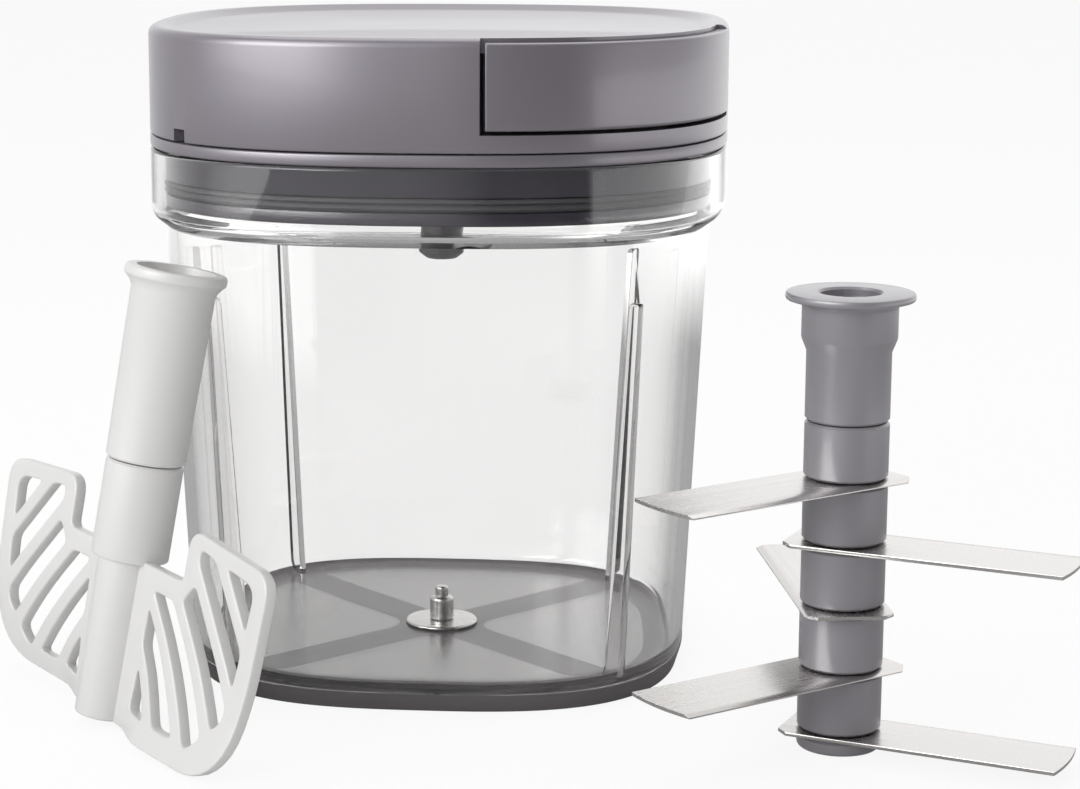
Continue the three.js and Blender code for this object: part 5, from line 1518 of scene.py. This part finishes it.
def curl(piece):
    for vertex in piece.data.vertices:
        height = min(1, max(0, 1 - vertex.co.z / MM / WING_CURL_HEIGHT))
        share = min(1, max(0, (vertex.co.x / MM - HUB_RADIUS) / (WING_SHOULDER - HUB_RADIUS)))
        vertex.co.y -= WING_CURL * MM * height ** 2 * share ** 2 * (3 - 2 * share)


print("wing thickness:", WING_THICKNESS, "mm")

# %% Hub and wings
HUB_FOOT_ROUND = 0.6
SLEEVE_EDGE = 0.5


def paddle_hub():
    spigot = CORE_ACROSS / 2
    profile = [(HUB_LOW_RADIUS - HUB_FOOT_ROUND, 0.0)]
    profile += arc((HUB_LOW_RADIUS - HUB_FOOT_ROUND, HUB_FOOT_ROUND), HUB_FOOT_ROUND, -80, 0, 3)
    profile += [(HUB_RADIUS, HUB_TOP - 0.1), (SLEEVE_LOW_RADIUS - 0.6, HUB_TOP)]
    profile += arc((SLEEVE_LOW_RADIUS - SLEEVE_EDGE, HUB_TOP + SLEEVE_EDGE), SLEEVE_EDGE, -80, 0, 3)
    profile += [(SLEEVE_LOW_RADIUS, SLEEVE_SEAM - GROOVE), (SLEEVE_LOW_RADIUS - GROOVE, SLEEVE_SEAM - 0.01)]
    profile += [(spigot, SLEEVE_SEAM), (spigot - 0.01, SLEEVE_SEAM + 9.4)]
    profile += [(spigot - 0.6, SLEEVE_SEAM + SPIGOT_HEIGHT)]
    return turned("paddle_hub_and_wings", profile)


body = paddle_hub()
for number in range(2):
    part = wing(number)
    cut_across(part)
    curl(part)
    print("wing faces:", len(part.data.polygons))
    combine(body, turn_to(part, Matrix.Rotation(number * math.pi, 4, "Z")), "UNION")
combine(body, pin_room(), "DIFFERENCE")
finish(turn_to(body, PADDLE_PLACE), "paddle", "paddle_white", PADDLE_WHITE, "paddle_body", smooth=40)
print("paddle body faces:", len(body.data.polygons))

# %% [markdown]
# ## Cord's finish
# The cord is thin and braided. The strands cross in two slants round it, so two zigzags over the tube's own
# coordinates make the weave in the bump. The colour follows the same zigzags and darkens the grooves between
# the strands as painted shade. Modelled strands would cost thousands of faces that nobody sees at this size.

# %% Cord material
STRAND_REPEATS = 6
GROOVE_PAINTED_SHADE = (0.62, 0.61, 0.59)
STRAND_LIGHT = (0.86, 0.85, 0.83)
GROOVE_SHADE_CONTRAST = 1.6
WEAVE_BUMP = 0.6
WEAVE_DEPTH = 0.0002


def braided_cord():
    made, tree, shader = new_material("cord")
    place = tree.nodes.new("ShaderNodeUVMap")
    split = tree.nodes.new("ShaderNodeSeparateXYZ")
    link(tree, place.outputs["UV"], split.inputs["Vector"])
    along = reckon(tree, "MULTIPLY", split.outputs["X"], STRAND_REPEATS)
    strands = []
    for way in (1, -1):
        slant = reckon(tree, "ADD", reckon(tree, "MULTIPLY", along, way), split.outputs["Y"])
        strands.append(reckon(tree, "PINGPONG", slant, 0.5))
    weave = reckon(tree, "MAXIMUM", strands[0], strands[1])
    # The colour is darker where the weave is low: painted shade in the grooves between the strands.
    share = spread(tree, weave, 0.0, GROOVE_SHADE_CONTRAST)
    mix_colours(tree, shader, share, linear(*GROOVE_PAINTED_SHADE), linear(*STRAND_LIGHT))
    add_bump(tree, shader, weave, WEAVE_BUMP, WEAVE_DEPTH)
    shader.inputs["Roughness"].default_value = 0.8
    return made


CORD_MATERIAL = braided_cord()
print("nodes in the cord's finish:", len(CORD_MATERIAL.node_tree.nodes))

# %% [markdown]
# ## Cord
# The cord's outer layer lies on the drum, and a straight lead runs from the drum through the bush to the
# grip. Both follow the same helix and run as the imported solids, but as smooth tubes. The lead has to reach
# the grip however far it is pulled; here it is one tube baked into its place and attached to no body.

# %% Cord's routes
CORD_RADIUS = 1.2
DRUM_RADIUS = 20
CORD_SIDES = 12
CORD_PITCH = 2 * CORD_RADIUS + 0.55
WINDING_TURNS = 2.7
WINDING_RADIUS = DRUM_RADIUS + GAP + CORD_RADIUS
BEND = 8
BEND_HALF_ANGLE = math.pi / 16
EYELET_FLANGE = 1.2
EYELET_FACE = (RECESS_HALF - RECESS_WALL) * CORNER - EYELET_FLANGE
BEND_START = EYELET_FACE - BEND * math.tan(BEND_HALF_ANGLE) - GAP
PULL = -math.pi / 4
LEAVE = PULL - math.acos(WINDING_RADIUS / BEND_START)
STRAIGHT_STEPS, BEND_STEPS, END_STEPS = 20, 12, 24


def around(radius, angle, height):
    return Vector((radius * math.cos(angle), radius * math.sin(angle), height))


def winding_route():
    turn_steps = 48
    steps = round(WINDING_TURNS * turn_steps)
    points = []
    for i in range(steps + 1):
        angle = LEAVE - (steps - i) * 2 * math.pi / turn_steps
        points.append(around(WINDING_RADIUS, angle, CORD_Z - (steps - i) * CORD_PITCH / turn_steps))
    first = LEAVE - steps * 2 * math.pi / turn_steps
    points.insert(0, points[0] - 2 * CORD_RADIUS * Vector((-math.sin(first), math.cos(first), 0)))
    points.append(points[-1] + 2 * CORD_RADIUS * Vector((-math.sin(LEAVE), math.cos(LEAVE), 0)))
    return points


def lead_route():
    along = Vector((-math.sin(LEAVE), math.cos(LEAVE), 0))
    start = around(WINDING_RADIUS, LEAVE, CORD_Z) + along * (2 * CORD_RADIUS + GAP)
    pull = Vector((math.cos(PULL), math.sin(PULL), 0))
    corner = pull * BEND_START + Vector((0, 0, CORD_Z))
    tangent = BEND * math.tan(math.acos(along.dot(pull)) / 2)
    bend_from, bend_to = corner - along * tangent, corner + pull * tangent
    points = [start.lerp(bend_from, i / STRAIGHT_STEPS) for i in range(STRAIGHT_STEPS)]
    for i in range(BEND_STEPS):
        share = i / BEND_STEPS
        points.append(bend_from.lerp(corner, share).lerp(corner.lerp(bend_to, share), share))
    end = pull * (SHELL_INNER * CORNER) + Vector((0, 0, CORD_Z))
    return points + [bend_to.lerp(end, i / END_STEPS) for i in range(END_STEPS + 1)]


lead_points = lead_route()
print("points along the lead:", len(lead_points))

# %% Cord tubes
def cord_tube(name, route, material):
    data = bpy.data.curves.new(name, "CURVE")
    data.dimensions = "3D"
    data.bevel_depth = CORD_RADIUS * MM
    data.bevel_resolution = CORD_SIDES // 4
    data.use_fill_caps = True
    spline = data.splines.new("POLY")
    spline.points.add(len(route) - 1)
    for point, place in zip(spline.points, route):
        point.co = (place * MM).to_4d()
    piece = bpy.data.objects.new(name, data)
    bpy.context.scene.collection.objects.link(piece)
    only(piece)
    bpy.ops.object.convert(target="MESH")
    piece = bpy.context.object
    bpy.ops.object.shade_smooth_by_angle(angle=math.radians(50))
    piece.data.materials.clear()
    piece.data.materials.append(material)
    return piece


winding = cord_tube("cord_on_drum", winding_route(), CORD_MATERIAL)
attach(winding, "reel")
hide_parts("cord_winding")
lead = cord_tube("cord_to_grip", lead_points, CORD_MATERIAL)
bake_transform(lead)
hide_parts("cord_lead")
print("cord turns:", WINDING_TURNS)

# %% [markdown]
# ## Inner pieces
# The reel, its spring, the clutch and the screws show only when the lid is opened or the grip is pulled.
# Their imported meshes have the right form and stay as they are, and they get the same finishes as the pieces
# around them.

# %% Materials of the inner pieces
INNER = {"reel": INNER_WHITE, "spring_cover": INNER_WHITE, "handle_plate": DARK_GREY_AND_SKIRT_SHADE}
INNER.update({"cord_stop": PIN_STEEL, "reel_post": PIN_STEEL, "thrust_washer": PIN_STEEL})
INNER.update({"mainspring": SPRING_STEEL, "pawl_spring": SPRING_STEEL})
INNER.update({f"pawl_{i}": PIN_STEEL for i in range(1, 4)})
INNER.update({f"lid_screw_{i}": PIN_STEEL for i in range(1, 6)})
INNER.update({f"handle_screw_{i}": PIN_STEEL for i in range(1, 3)})
for name, finish_material in INNER.items():
    data = nodes[name].data
    data.materials.clear()
    data.materials.append(finish_material)
print("inner pieces finished:", len(INNER))
